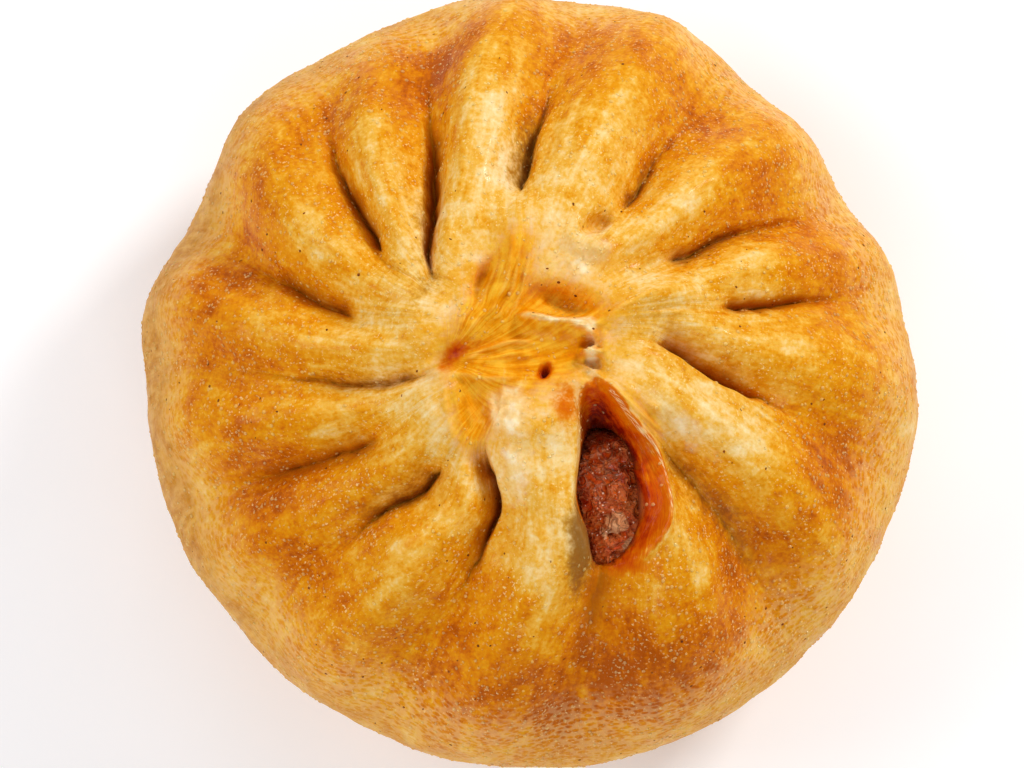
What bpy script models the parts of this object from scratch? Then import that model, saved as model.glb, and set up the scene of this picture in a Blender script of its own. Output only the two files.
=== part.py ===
# Fried pork bun: a pleated dough bun with its pork filling showing in one open pleat.
# Lengths below are millimetres and angles degrees. The origin is on the surface that
# the bun rests on, under its middle, with +Z up and the open pleat towards -Y and +X.
import math

import bmesh
import bpy
import numpy as np

MM = 0.001

# The plain body: a dome over the widest ring, and a rounded flank down to a flat foot
PLAN_RADIUS = 42.0
RING_HEIGHT = 19.0
DOME_HEIGHT = 27.0
DOME_SQUARENESS = 2.2
FLANK_SQUARENESS = 3.0
FOOT_CUT = 1.8
HUB_SINK = 2.2
HUB_RADIUS = 9.0
PROFILE_STEPS = 1200

# Grid of the dough's skin, counted round the bun and from hub to foot. Its columns run
# along the creases, and crowd towards them.
COLUMNS = 128
DOME_ROWS = 26
FLANK_ROWS = 7
ROW_CROWDING = 0.4
COLUMN_CROWDING = 0.45
GUIDE_GAP = 5.0
GUIDE_START = 12.0
GUIDE_END = 40.0
GUIDE_ROUNDS = 60
SKIN_FADE_HEIGHT = 9.0

# The steep wall of the open pleat, which goes on below it as a crease: a path of
# (arc length from the hub, bearing) pairs, like those of the creases
WALL_PATH = (
    (7.7, 312.0),
    (9.9, 305.0),
    (13.0, 296.3),
    (17.6, 288.0),
    (21.8, 288.2),
    (24.5, 287.5),
    (29.0, 283.5),
    (38.0, 279.0),
)

# Each crease between two pleats is a path, with the width of its wall on either side, ccw
# being the side of greater bearing. The wall on the side that a positive lean names (ccw)
# or a negative one (cw) hangs over the crease. The vale is the wide dip about the crease.
CREASES = (
    dict(
        path=((13.9, 94.9), (20.6, 90.0), (27.8, 86.8), (34.0, 84.0)),
        depth=2.9, ccw=4.4, cw=1.8, lean=-0.8, vale=3.7,
    ),
    dict(
        path=((10.8, 152.0), (16.0, 133.0), (22.7, 120.4), (36.0, 110.0)),
        depth=4.0, ccw=1.3, cw=3.0, lean=1.0, vale=4.2,
    ),
    dict(
        path=((13.5, 156.0), (19.1, 149.1), (26.7, 140.2), (37.0, 131.0)),
        start=18.0, depth=3.4, ccw=1.4, cw=2.6, lean=0.6, vale=3.3,
    ),
    dict(
        path=((16.0, 173.0), (21.0, 171.0), (28.8, 166.0), (40.0, 160.0)),
        start=17.5, depth=2.8, ccw=1.6, cw=3.0, lean=0.5, vale=4.2,
    ),
    dict(
        path=((10.0, 202.5), (15.4, 199.0), (22.0, 191.8), (36.0, 182.5)),
        depth=2.0, ccw=1.6, cw=2.0, lean=0.4, vale=2.8, peak=0.2,
    ),
    dict(
        path=((16.0, 214.0), (22.3, 211.8), (30.0, 208.0), (44.0, 203.0)),
        start=18.5, depth=2.4, ccw=2.4, cw=3.2, lean=0.4, vale=4.2, peak=0.5,
    ),
    dict(
        path=((15.8, 235.5), (18.9, 236.2), (25.2, 229.7), (36.0, 225.0)),
        depth=3.3, ccw=1.5, cw=4.2, lean=0.6, vale=3.7, peak=0.25,
    ),
    dict(
        path=((11.6, 247.0), (17.6, 259.4), (23.7, 256.6), (32.0, 252.0)),
        depth=3.8, ccw=1.2, cw=3.4, lean=1.0, vale=3.7,
    ),
    dict(
        path=WALL_PATH,
        start=23.0, depth=0.6, ccw=3.0, cw=3.0, lean=0.0, vale=3.0,
    ),
    dict(
        path=((17.0, 320.2), (28.9, 317.6), (48.0, 311.7)),
        depth=1.0, ccw=4.2, cw=4.2, lean=0.0, vale=4.2, peak=0.55,
    ),
    dict(
        path=((11.5, 357.5), (16.2, 351.2), (22.5, 347.0), (33.0, 344.3)),
        depth=3.6, ccw=4.2, cw=1.3, lean=-0.9, vale=3.2,
    ),
    dict(
        path=((20.0, 9.8), (25.5, 9.6), (31.8, 10.2), (42.0, 9.6)),
        depth=2.8, ccw=2.2, cw=1.8, lean=0.3, vale=3.2,
    ),
    dict(
        path=((16.4, 29.6), (20.0, 30.4), (25.0, 30.6), (31.0, 29.2), (42.0, 27.0)),
        depth=2.8, ccw=1.3, cw=3.6, lean=0.6, vale=3.9, peak=0.35,
    ),
    dict(
        path=((16.4, 55.4), (20.0, 55.6), (24.0, 56.2), (34.0, 55.6)),
        depth=2.0, ccw=1.8, cw=1.2, lean=-0.3, vale=3.7, peak=0.35,
    ),
)
CREASE_PEAK = 0.4
CREASE_TAPER = 0.35
CREASE_EASE_IN = 0.14
CREASE_EASE_OUT = 0.6
VALE_SPREAD = 9.0
VALE_START = 8.0
VALE_FULL = 20.0
VALE_LEAD = 6.0
VALE_LAG = 4.0
VALE_FADE = 34.0
VALE_END = 58.0
PATH_SETTLE = 6.0
FOLD_BLEND = 3.0

# The open pleat: the width of its opening at each arc length, and the lip beyond it
OPENING = (
    (7.5, 0.3),
    (9.0, 1.4),
    (12.5, 3.4),
    (15.0, 5.2),
    (18.0, 6.6),
    (21.0, 5.8),
    (23.5, 4.2),
    (25.5, 0.8),
)
POCKET_START = 7.6
POCKET_DEEPENS = 2.2
POCKET_END = 26.2
POCKET_CLOSES = 3.0
POCKET_DEPTH = 9.0
POCKET_WALL = 1.5
POCKET_EDGE = 1.3
LIP_WIDTH = 3.0
LIP_NARROWS = 0.67
LIP_NARROW_ARC = 14.0
LIP_WIDE_ARC = 19.5
LIP_DROP = 1.9
LIP_RISE = 0.9
LIP_CREST_IN = 0.5
LIP_CREST_WIDTH = 1.2
LIP_PATH = (
    (9.9, 317.0),
    (13.0, 315.0),
    (17.6, 311.0),
    (21.8, 304.5),
    (24.5, 296.5),
    (29.0, 291.5),
    (38.0, 288.0),
)

# The webs and dents, given in plan round the hub, stand this far from where it is
CROWN_SHIFT = (0.0, -0.6)

# Webs of stretched dough that stand proud of the hub, each along (x, y) points in plan
WEBS = (
    dict(
        path=((-8.8, -2.6), (-6.4, 1.4), (-3.6, 4.4), (-2.0, 7.4), (-1.2, 11.5), (-0.4, 17.0)),
        height=1.9,
        width=1.9,
    ),
    dict(
        path=((-3.0, 3.2), (0.6, 2.0), (3.8, 1.5), (7.5, 1.6), (12.5, 4.4), (19.0, 5.4)),
        height=1.4,
        width=1.5,
    ),
    dict(path=((-9.0, -3.4), (-3.0, -4.2), (2.2, -4.6), (7.2, -4.8)), height=0.8, width=1.6),
    dict(path=((-8.6, -2.2), (-9.2, -6.5), (-7.8, -13.0)), height=1.1, width=2.2),
)
WEB_STEPS = 28
WEB_POWER = 1.8
WEB_EASE_IN = 0.2
WEB_EASE_OUT = 0.25

# Dents round the hub, with their half sizes and turn in plan; a negative depth is a swelling
DENTS = (
    dict(x=3.4, y=3.5, along=3.3, across=1.6, turn=-12, depth=2.4),
    dict(x=-4.8, y=5.6, along=2.2, across=0.8, turn=62, depth=1.8),
    dict(x=-2.0, y=0.2, along=4.6, across=2.6, turn=10, depth=-0.9),
    dict(x=6.6, y=11.9, along=1.8, across=0.8, turn=38, depth=2.4),
    dict(x=-5.4, y=-6.9, along=2.8, across=1.8, turn=70, depth=1.1),
    dict(x=10.5, y=8.0, along=3.0, across=2.0, turn=30, depth=1.0),
    dict(x=0.3, y=-8.2, along=3.6, across=2.4, turn=0, depth=-1.5),
    dict(x=-10.0, y=1.0, along=2.4, across=3.4, turn=0, depth=-0.8),
)
DENT_POWER = 1.3

# How far the rim stands out or in at a bearing: (bearing, spread, reach)
RIM_WAVES = (
    (10, 9, -1.0),
    (29, 9, -2.3),
    (47, 12, -1.6),
    (75, 12, 0.5),
    (101, 14, 1.0),
    (135, 10, 1.0),
    (154, 9, -1.0),
    (171, 8, 1.0),
    (215, 18, -0.4),
    (332, 16, -0.5),
)

# Pork filling: a ball of meat under the crown, with a ridge that rises into the open pleat
BALL_CENTRE = (1.5, -3.0, 18.5)
BALL_RADII = (25.0, 24.0, 14.0)
RIDGE_ENDS = ((7.0, -12.0, 35.4), (9.3, -20.6, 34.4))
RIDGE_RADIUS = 4.4
RIDGE_BLEND = 3.0
BALL_COLUMNS = 44
BALL_ROWS = 24
ROW_CLOSENESS = 1.5
FILLING_GAP = 0.35
REACH_STEPS = 24
MOST_REACH = 45.0
LEAST_REACH = 6.0

DOUGH_COLOUR = (0.80, 0.46, 0.13, 1.0)
DOUGH_ROUGHNESS = 0.45
FILLING_COLOUR = (0.26, 0.06, 0.025, 1.0)
FILLING_ROUGHNESS = 0.3


def eased(value, low, high):
    """0 below low, 1 above high, and a smooth rise between."""
    t = np.clip((value - low) / (high - low), 0.0, 1.0)
    return t * t * (3.0 - 2.0 * t)


def turned(degrees):
    """An angle in degrees brought to between -180 and 180."""
    return (degrees + 180.0) % 360.0 - 180.0


def body_profile():
    """Radius, height and arc length of the plain body, from the hub to the foot's edge."""
    lean = np.linspace(0.0, math.pi / 2, PROFILE_STEPS)
    dome_radius = PLAN_RADIUS * np.sin(lean) ** (2.0 / DOME_SQUARENESS)
    dome_height = RING_HEIGHT + DOME_HEIGHT * np.cos(lean)
    dome_height -= HUB_SINK * np.exp(-((dome_radius / HUB_RADIUS) ** 2))
    drop = RING_HEIGHT + FOOT_CUT
    foot_lean = math.asin((RING_HEIGHT / drop) ** (FLANK_SQUARENESS / 2.0))
    lean = np.linspace(0.0, foot_lean, PROFILE_STEPS)[1:]
    flank_radius = PLAN_RADIUS * np.cos(lean) ** (2.0 / FLANK_SQUARENESS)
    flank_height = RING_HEIGHT - drop * np.sin(lean) ** (2.0 / FLANK_SQUARENESS)
    radius = np.concatenate([dome_radius, flank_radius])
    height = np.concatenate([dome_height, flank_height])
    arc = np.concatenate([[0.0], np.cumsum(np.hypot(np.diff(radius), np.diff(height)))])
    height[-1] = 0.0
    return radius, height, arc, arc[len(dome_radius) - 1]


def smooth_through(points, place):
    """Value at a place of the smooth curve through (place, value) points."""
    x, y = np.array(points, float).T
    slope = np.gradient(y, x)
    place = np.clip(place, x[0], x[-1])
    k = np.clip(np.searchsorted(x, place, side="right") - 1, 0, len(x) - 2)
    gap = x[k + 1] - x[k]
    t = (place - x[k]) / gap
    first = (1 + 2 * t) * (1 - t) ** 2 * y[k] + t * (1 - t) ** 2 * gap * slope[k]
    return first + t**2 * (3 - 2 * t) * y[k + 1] - t**2 * (1 - t) * gap * slope[k + 1]


def bearing_on(path, arc):
    """Bearing of a path at an arc length; beyond its ends the path settles to a fixed bearing."""
    x, y = np.array(path, float).T
    slope = np.gradient(y, x)
    before = PATH_SETTLE * (1.0 - np.exp(-np.clip(x[0] - arc, 0.0, None) / PATH_SETTLE))
    beyond = PATH_SETTLE * (1.0 - np.exp(-np.clip(arc - x[-1], 0.0, None) / PATH_SETTLE))
    return smooth_through(path, arc) - slope[0] * before + slope[-1] * beyond


def signed_distance(path, arc, bearing, radius):
    """Distance across a path, positive on its ccw side."""
    step = 0.5
    slope = np.radians(bearing_on(path, arc + step) - bearing_on(path, arc - step)) / (2 * step)
    slant = np.cos(np.arctan(radius * slope))
    return radius * np.radians(turned(bearing - bearing_on(path, arc))) * slant


def pinch(share):
    """Section of the cusp between two round pleats: 1 in the crease, 0 a wall's width away."""
    near = np.clip(1.0 - share, 0.0, 1.0)
    return 1.0 - np.sqrt(1.0 - near**2)


def crease_relief(crease, arc, bearing, radius):
    """Depth of a crease, how far its hanging wall leans over it, and depth of its vale."""
    start = crease.get("start", crease["path"][0][0])
    end = crease["path"][-1][0]
    across = signed_distance(crease["path"], arc, bearing, radius)
    share = (arc - start) / (end - start)
    along = eased(share, 0.0, CREASE_EASE_IN) * (1.0 - eased(share, 1.0 - CREASE_EASE_OUT, 1.0))
    peak = crease.get("peak", CREASE_PEAK)
    along = along * (1.0 - CREASE_TAPER * np.clip(np.abs(share - peak), 0.0, 1.0))
    wall = np.where(across > 0, crease["ccw"], crease["cw"])
    depth = crease["depth"] * along * pinch(np.abs(across) / wall)
    lean = crease["lean"]
    steep = crease["ccw"] if lean > 0 else crease["cw"]
    out = across * math.copysign(1.0, lean) / steep
    hang = np.where(out > 0, np.clip(out, 0, 1) * np.exp(-np.clip(out - 1.0, 0.0, 9.0)), 0.0)
    shift = -lean * along * hang
    turn = turned(bearing - bearing_on(crease["path"], arc)) / VALE_SPREAD
    inner = eased(arc, max(VALE_START, start - VALE_LEAD), max(VALE_FULL, start + VALE_LAG))
    outer = 1.0 - eased(arc, VALE_FADE, VALE_END)
    vale = crease["vale"] * np.exp(-(turn**2)) * inner * outer
    return depth, shift, vale


def pocket_relief(arc, bearing, radius):
    """Depth of the open pleat and height of the crest along its lip."""
    across = signed_distance(WALL_PATH, arc, bearing, radius)
    inner = np.clip(smooth_through(OPENING, arc), 0.0, None)
    width = LIP_WIDTH * (1.0 - LIP_NARROWS * (1.0 - eased(arc, LIP_NARROW_ARC, LIP_WIDE_ARC)))
    drop = LIP_DROP / POCKET_DEPTH
    lip = drop * (1.0 - eased(across, inner, inner + width))
    lip = lip + (1.0 - drop) * (1.0 - eased(across, inner - POCKET_EDGE, inner))
    wall = 1.0 - eased(-across, 0.0, POCKET_WALL)
    opening = eased(arc, POCKET_START, POCKET_START + POCKET_DEEPENS)
    opening = opening * (1.0 - eased(arc, POCKET_END - POCKET_CLOSES, POCKET_END))
    beyond = across - inner - width + LIP_CREST_IN
    crest = LIP_RISE * np.exp(-((beyond / LIP_CREST_WIDTH) ** 2)) * opening
    return POCKET_DEPTH * opening * np.where(across > 0, lip, wall), crest


def curve_through(points):
    """A smooth curve in plan through the points of a web."""
    knots = np.array(points, float)
    place = np.concatenate([[0.0], np.cumsum(np.hypot(*np.diff(knots, axis=0).T))])
    step = np.linspace(0.0, place[-1], WEB_STEPS)
    east = smooth_through(np.stack([place, knots[:, 0]], axis=-1), step)
    north = smooth_through(np.stack([place, knots[:, 1]], axis=-1), step)
    return np.stack([east, north], axis=-1)


def web_height(east, north):
    """Height of the stretched webs at a place in plan."""
    total = np.zeros_like(east)
    for web in WEBS:
        curve = curve_through(web["path"])
        best = np.full(east.shape, np.inf)
        share = np.zeros(east.shape)
        for number, (first, last) in enumerate(zip(curve[:-1], curve[1:])):
            run = last - first
            spot = ((east - first[0]) * run[0] + (north - first[1]) * run[1]) / (run @ run)
            spot = np.clip(spot, 0.0, 1.0)
            gap = np.hypot(east - first[0] - spot * run[0], north - first[1] - spot * run[1])
            share = np.where(gap < best, (number + spot) / (WEB_STEPS - 1), share)
            best = np.minimum(best, gap)
        ends = eased(share, 0.0, WEB_EASE_IN) * (1.0 - eased(share, 1.0 - WEB_EASE_OUT, 1.0))
        height = web["height"] * ends * np.exp(-((best / web["width"]) ** WEB_POWER))
        total = np.maximum(total, height)
    return total


def dent_depth(east, north):
    """Depth of the dents round the hub at a place in plan."""
    total = np.zeros_like(east)
    for dent in DENTS:
        turn = math.radians(dent["turn"])
        dx, dy = east - dent["x"], north - dent["y"]
        along = (dx * math.cos(turn) + dy * math.sin(turn)) / dent["along"]
        across = (dy * math.cos(turn) - dx * math.sin(turn)) / dent["across"]
        total += dent["depth"] * np.exp(-((along**2 + across**2) ** DENT_POWER))
    return total


def rim_reach(bearing):
    """How far the plan stands out from its round at each bearing."""
    total = np.zeros_like(bearing)
    for middle, spread, reach in RIM_WAVES:
        total += reach * np.exp(-((turned(bearing - middle) / spread) ** 2))
    return total


def skin_points(arc, bearing):
    """Points of the dough's skin at arc lengths and bearings."""
    radius_table, height_table, arc_table, _ = body_profile()
    radius = np.interp(arc, arc_table, radius_table)
    height = np.interp(arc, arc_table, height_table)
    rise = np.gradient(height_table, arc_table)
    spread = np.gradient(radius_table, arc_table)
    normal_out = -np.interp(arc, arc_table, rise)
    normal_up = np.interp(arc, arc_table, spread)

    folds, shift, vales = np.zeros_like(arc), np.zeros_like(arc), np.zeros_like(arc)
    for crease in CREASES:
        depth, lean, vale = crease_relief(crease, arc, bearing, radius)
        folds += depth**FOLD_BLEND
        vales += vale
        shift += lean
    pocket, crest = pocket_relief(arc, bearing, radius)
    folds = (folds + pocket**FOLD_BLEND) ** (1.0 / FOLD_BLEND)

    east = radius * np.cos(np.radians(bearing)) - CROWN_SHIFT[0]
    north = radius * np.sin(np.radians(bearing)) - CROWN_SHIFT[1]
    relief = web_height(east, north) + crest - folds - vales - dent_depth(east, north)
    relief *= eased(height, 0.0, SKIN_FADE_HEIGHT)
    reach = rim_reach(bearing) * radius / PLAN_RADIUS
    out = radius + reach + normal_out * relief
    angle = np.radians(bearing) + shift / np.maximum(radius, 1.0)
    return np.stack([out * np.cos(angle), out * np.sin(angle), height + normal_up * relief], axis=-1)


def guide_bearings(arcs):
    """Bearing of every crease and of the lip at each arc length, in order and kept apart."""
    paths = [crease["path"] for crease in CREASES] + [LIP_PATH]
    inner = np.clip(arcs, GUIDE_START, GUIDE_END)
    rows = np.array([bearing_on(path, inner) for path in paths])
    middle = len(arcs) // 2
    rows = np.unwrap(rows, period=360, axis=1)
    rows -= 360 * np.floor(rows[:, middle] / 360)[:, None]
    rows = rows[np.argsort(rows[:, middle])]
    for _ in range(GUIDE_ROUNDS):
        gap = np.roll(rows, -1, axis=0) - rows
        gap[-1] += 360
        push = np.clip(GUIDE_GAP - gap, 0, None) / 2
        rows = rows - push + np.roll(push, 1, axis=0)
    return rows


def grid_bearings(arcs):
    """Bearings of the grid, one row for each arc length, with columns that run along the guides."""
    rows = guide_bearings(arcs)
    gap = np.roll(rows, -1, axis=0) - rows
    gap[-1] += 360
    shares = np.maximum(3, np.round(gap[:, len(arcs) // 2] / 360 * COLUMNS)).astype(int)
    shares[np.argmax(shares)] += COLUMNS - shares.sum()
    grid = []
    for start, width, count in zip(rows, gap, shares):
        t = np.arange(count) / count
        t = t - COLUMN_CROWDING * np.sin(2 * math.pi * t) / (2 * math.pi)
        grid.append(start[:, None] + width[:, None] * t)
    return np.concatenate(grid, axis=1)


def object_from(name, vertices, faces, colour, roughness):
    """A smooth-shaded mesh object with its own material, from points in millimetres."""
    mesh = bpy.data.meshes.new(name)
    mesh.from_pydata([tuple(float(c) * MM for c in v) for v in vertices], [], faces)
    mesh.update()
    made = bpy.data.objects.new(name, mesh)
    bpy.context.scene.collection.objects.link(made)
    work = bmesh.new()
    work.from_mesh(mesh)
    bmesh.ops.recalc_face_normals(work, faces=work.faces)
    work.to_mesh(mesh)
    work.free()
    mesh.shade_smooth()
    material = bpy.data.materials.new(name)
    material.use_nodes = True
    shader = material.node_tree.nodes["Principled BSDF"]
    shader.inputs["Base Color"].default_value = colour
    shader.inputs["Roughness"].default_value = roughness
    shader.inputs["Metallic"].default_value = 0.0
    mesh.materials.append(material)
    return made


def ring_faces(rows, columns, first=0):
    """Quads between successive rings of points, closed round."""
    faces = []
    for row in range(rows - 1):
        for column in range(columns):
            across = (column + 1) % columns
            a, b = first + row * columns, first + (row + 1) * columns
            faces.append((a + column, b + column, b + across, a + across))
    return faces


def dough_skin():
    """The dough's outer form, shut at the hub by a fan and at the foot by one flat face."""
    _, _, arc_table, ring_arc = body_profile()
    share = np.linspace(0.0, 1.0, DOME_ROWS + 1)[1:]
    dome = ring_arc * (share * (1 - ROW_CROWDING) + share**2 * ROW_CROWDING)
    flank = np.linspace(ring_arc, arc_table[-1], FLANK_ROWS + 1)[1:]
    arcs = np.concatenate([dome, flank])
    bearing = grid_bearings(arcs)
    arc = np.repeat(arcs[:, None], COLUMNS, axis=1)
    points = skin_points(arc, bearing)
    hub = skin_points(np.array([0.0]), np.array([0.0]))
    vertices = np.concatenate([hub, points.reshape(-1, 3)])
    faces = [(0, 1 + c, 1 + (c + 1) % COLUMNS) for c in range(COLUMNS)]
    faces += ring_faces(len(arcs), COLUMNS, first=1)
    foot = 1 + (len(arcs) - 1) * COLUMNS
    faces.append(tuple(foot + c for c in reversed(range(COLUMNS))))
    return vertices, faces


def meat_field(points):
    """Negative inside the filling: the ball and the ridge, blended."""
    centre, radii = np.array(BALL_CENTRE), np.array(BALL_RADII)
    ball = (np.linalg.norm((points - centre) / radii, axis=-1) - 1.0) * radii.min()
    a, b = (np.array(end) for end in RIDGE_ENDS)
    share = np.clip(((points - a) @ (b - a)) / ((b - a) @ (b - a)), 0.0, 1.0)
    ridge = np.linalg.norm(points - a - share[..., None] * (b - a), axis=-1) - RIDGE_RADIUS
    blend = np.clip(RIDGE_BLEND - np.abs(ball - ridge), 0.0, None) / RIDGE_BLEND
    return np.minimum(ball, ridge) - blend**2 * RIDGE_BLEND / 4.0


def filling_skin(grow):
    """The filling's surface, grown by a gap: how far each direction reaches from its middle."""
    columns, rows = BALL_COLUMNS, BALL_ROWS
    centre = np.array(BALL_CENTRE)
    # the pole of the directions points at the ridge, where their rows lie closest
    pole = np.mean(RIDGE_ENDS, axis=0) - centre
    pole /= np.linalg.norm(pole)
    side = np.cross(pole, (0.0, 1.0, 0.0))
    side /= np.linalg.norm(side)
    third = np.cross(pole, side)
    lean = math.pi * np.linspace(0.0, 1.0, rows + 1)[1:-1] ** ROW_CLOSENESS
    lean, turn = np.meshgrid(lean, np.arange(columns) * 2 * math.pi / columns, indexing="ij")
    ways = np.cos(lean)[..., None] * pole
    ways = ways + (np.sin(lean) * np.cos(turn))[..., None] * side
    ways = ways + (np.sin(lean) * np.sin(turn))[..., None] * third
    ways = np.concatenate([[pole], ways.reshape(-1, 3), [-pole]])
    inside, outside = np.full(len(ways), LEAST_REACH), np.full(len(ways), MOST_REACH)
    for _ in range(REACH_STEPS):
        middle = (inside + outside) / 2
        out = meat_field(centre + ways * middle[:, None]) > grow
        inside, outside = np.where(out, inside, middle), np.where(out, middle, outside)
    vertices = centre + ways * inside[:, None]
    last = len(vertices) - 1
    faces = [(0, 1 + c, 1 + (c + 1) % columns) for c in range(columns)]
    faces += ring_faces(rows - 1, columns, first=1)
    below = 1 + (rows - 2) * columns
    faces += [(below + c, last, below + (c + 1) % columns) for c in range(columns)]
    return vertices, faces


def middle_shift(vertices):
    """What brings the middle of the dough's plan to the origin."""
    return np.array([*(-(vertices[:, :2].min(0) + vertices[:, :2].max(0)) / 2), 0.0])


def cut_out(body, cutter):
    """Cuts one object out of another, and keeps the cutter as a guide that isn't rendered."""
    cut = body.modifiers.new("filling's room", "BOOLEAN")
    cut.operation = "DIFFERENCE"
    cut.solver = "EXACT"
    cut.object = cutter
    cutter.hide_render = True
    cutter.display_type = "WIRE"


def build():
    for old in list(bpy.data.objects):
        bpy.data.objects.remove(old)
    vertices, faces = dough_skin()
    shift = middle_shift(vertices)
    dough = object_from("dough", vertices + shift, faces, DOUGH_COLOUR, DOUGH_ROUGHNESS)
    vertices, faces = filling_skin(0.0)
    object_from("filling", vertices + shift, faces, FILLING_COLOUR, FILLING_ROUGHNESS)
    vertices, faces = filling_skin(FILLING_GAP)
    room = object_from("filling_room", vertices + shift, faces, FILLING_COLOUR, FILLING_ROUGHNESS)
    cut_out(dough, room)


build()
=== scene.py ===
# Fried pork bun: pleated dough gathered at the crown, fried golden, with its glazed pork
# filling showing in one open pleat. Sizes are millimetres and become metres where a mesh is
# made. A bearing is in degrees round the hub of the pleats, and an arc is the length along
# the side of the plain body, from the hub outwards.
import math

import bpy
import numpy as np
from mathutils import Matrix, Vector, noise
from mathutils.kdtree import KDTree


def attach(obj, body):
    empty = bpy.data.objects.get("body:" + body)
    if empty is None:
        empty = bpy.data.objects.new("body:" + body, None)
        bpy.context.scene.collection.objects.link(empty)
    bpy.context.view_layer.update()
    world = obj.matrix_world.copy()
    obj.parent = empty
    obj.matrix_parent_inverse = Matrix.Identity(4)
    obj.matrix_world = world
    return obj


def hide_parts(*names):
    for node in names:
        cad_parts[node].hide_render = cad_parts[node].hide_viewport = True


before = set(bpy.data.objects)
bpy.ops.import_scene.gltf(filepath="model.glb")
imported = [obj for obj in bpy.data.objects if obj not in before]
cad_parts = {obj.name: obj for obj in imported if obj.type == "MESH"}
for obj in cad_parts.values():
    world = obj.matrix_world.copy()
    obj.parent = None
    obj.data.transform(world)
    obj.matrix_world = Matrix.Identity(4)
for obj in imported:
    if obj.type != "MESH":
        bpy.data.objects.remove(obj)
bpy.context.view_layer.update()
print("frame loaded")

mm = 0.001


def eased(value, low, high):
    t = np.clip((value - low) / (high - low), 0.0, 1.0)
    return t * t * (3.0 - 2.0 * t)


def turned(degrees):
    return (degrees + 180.0) % 360.0 - 180.0


def smoothThrough(points, place):
    # value at a place of the smooth curve through (place, value) points
    x, y = np.array(points, float).T
    slope = np.gradient(y, x)
    place = np.clip(place, x[0], x[-1])
    k = np.clip(np.searchsorted(x, place, side="right") - 1, 0, len(x) - 2)
    gap = x[k + 1] - x[k]
    t = (place - x[k]) / gap
    first = (1 + 2 * t) * (1 - t) ** 2 * y[k] + t * (1 - t) ** 2 * gap * slope[k]
    return first + t**2 * (3 - 2 * t) * y[k + 1] - t**2 * (1 - t) * gap * slope[k + 1]


def noiseOver(points, size, seed):
    # smooth noise between about -1 and 1 whose lumps are of a given size
    offset = Vector((seed * 17.3, seed * 5.1, seed * 9.7))
    return np.array([noise.noise(Vector(p) / size + offset) for p in points.tolist()])


def layeredNoise(points, layers, seed):
    # sum of noises, each with its (size, height)
    return sum(depth * noiseOver(points, size, seed + k) for k, (size, depth) in enumerate(layers))


def toneOf(red, green, blue):
    # a colour as seen on a screen, turned into the shader's linear values
    def linear(c):
        c = c / 255.0
        return c / 12.92 if c <= 0.04045 else ((c + 0.055) / 1.055) ** 2.4

    return (linear(red), linear(green), linear(blue), 1.0)


# The plain body: a dome over the widest ring, a rounded flank, and a flat foot
body = dict(
    planRadius=42.0,
    ringHeight=19.0,
    domeHeight=27.0,
    domeSquareness=2.2,
    flankSquareness=3.0,
    footCut=1.8,
    hubSink=2.2,
    hubRadius=9.0,
    skinFadeHeight=9.0,
    profileSteps=(1500, 800, 400),
    columns=480,
    domeRows=138,
    flankRows=26,
    footRows=8,
    rowCrowding=0.45,
    columnCrowding=0.35,
)

# The steep wall of the open pleat, which goes on below it as a crease
wallPath = (
    (7.7, 312.0),
    (9.9, 305.0),
    (13.0, 296.3),
    (17.6, 288.0),
    (21.8, 288.2),
    (24.5, 287.5),
    (29.0, 283.5),
    (38.0, 279.0),
)

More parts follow.
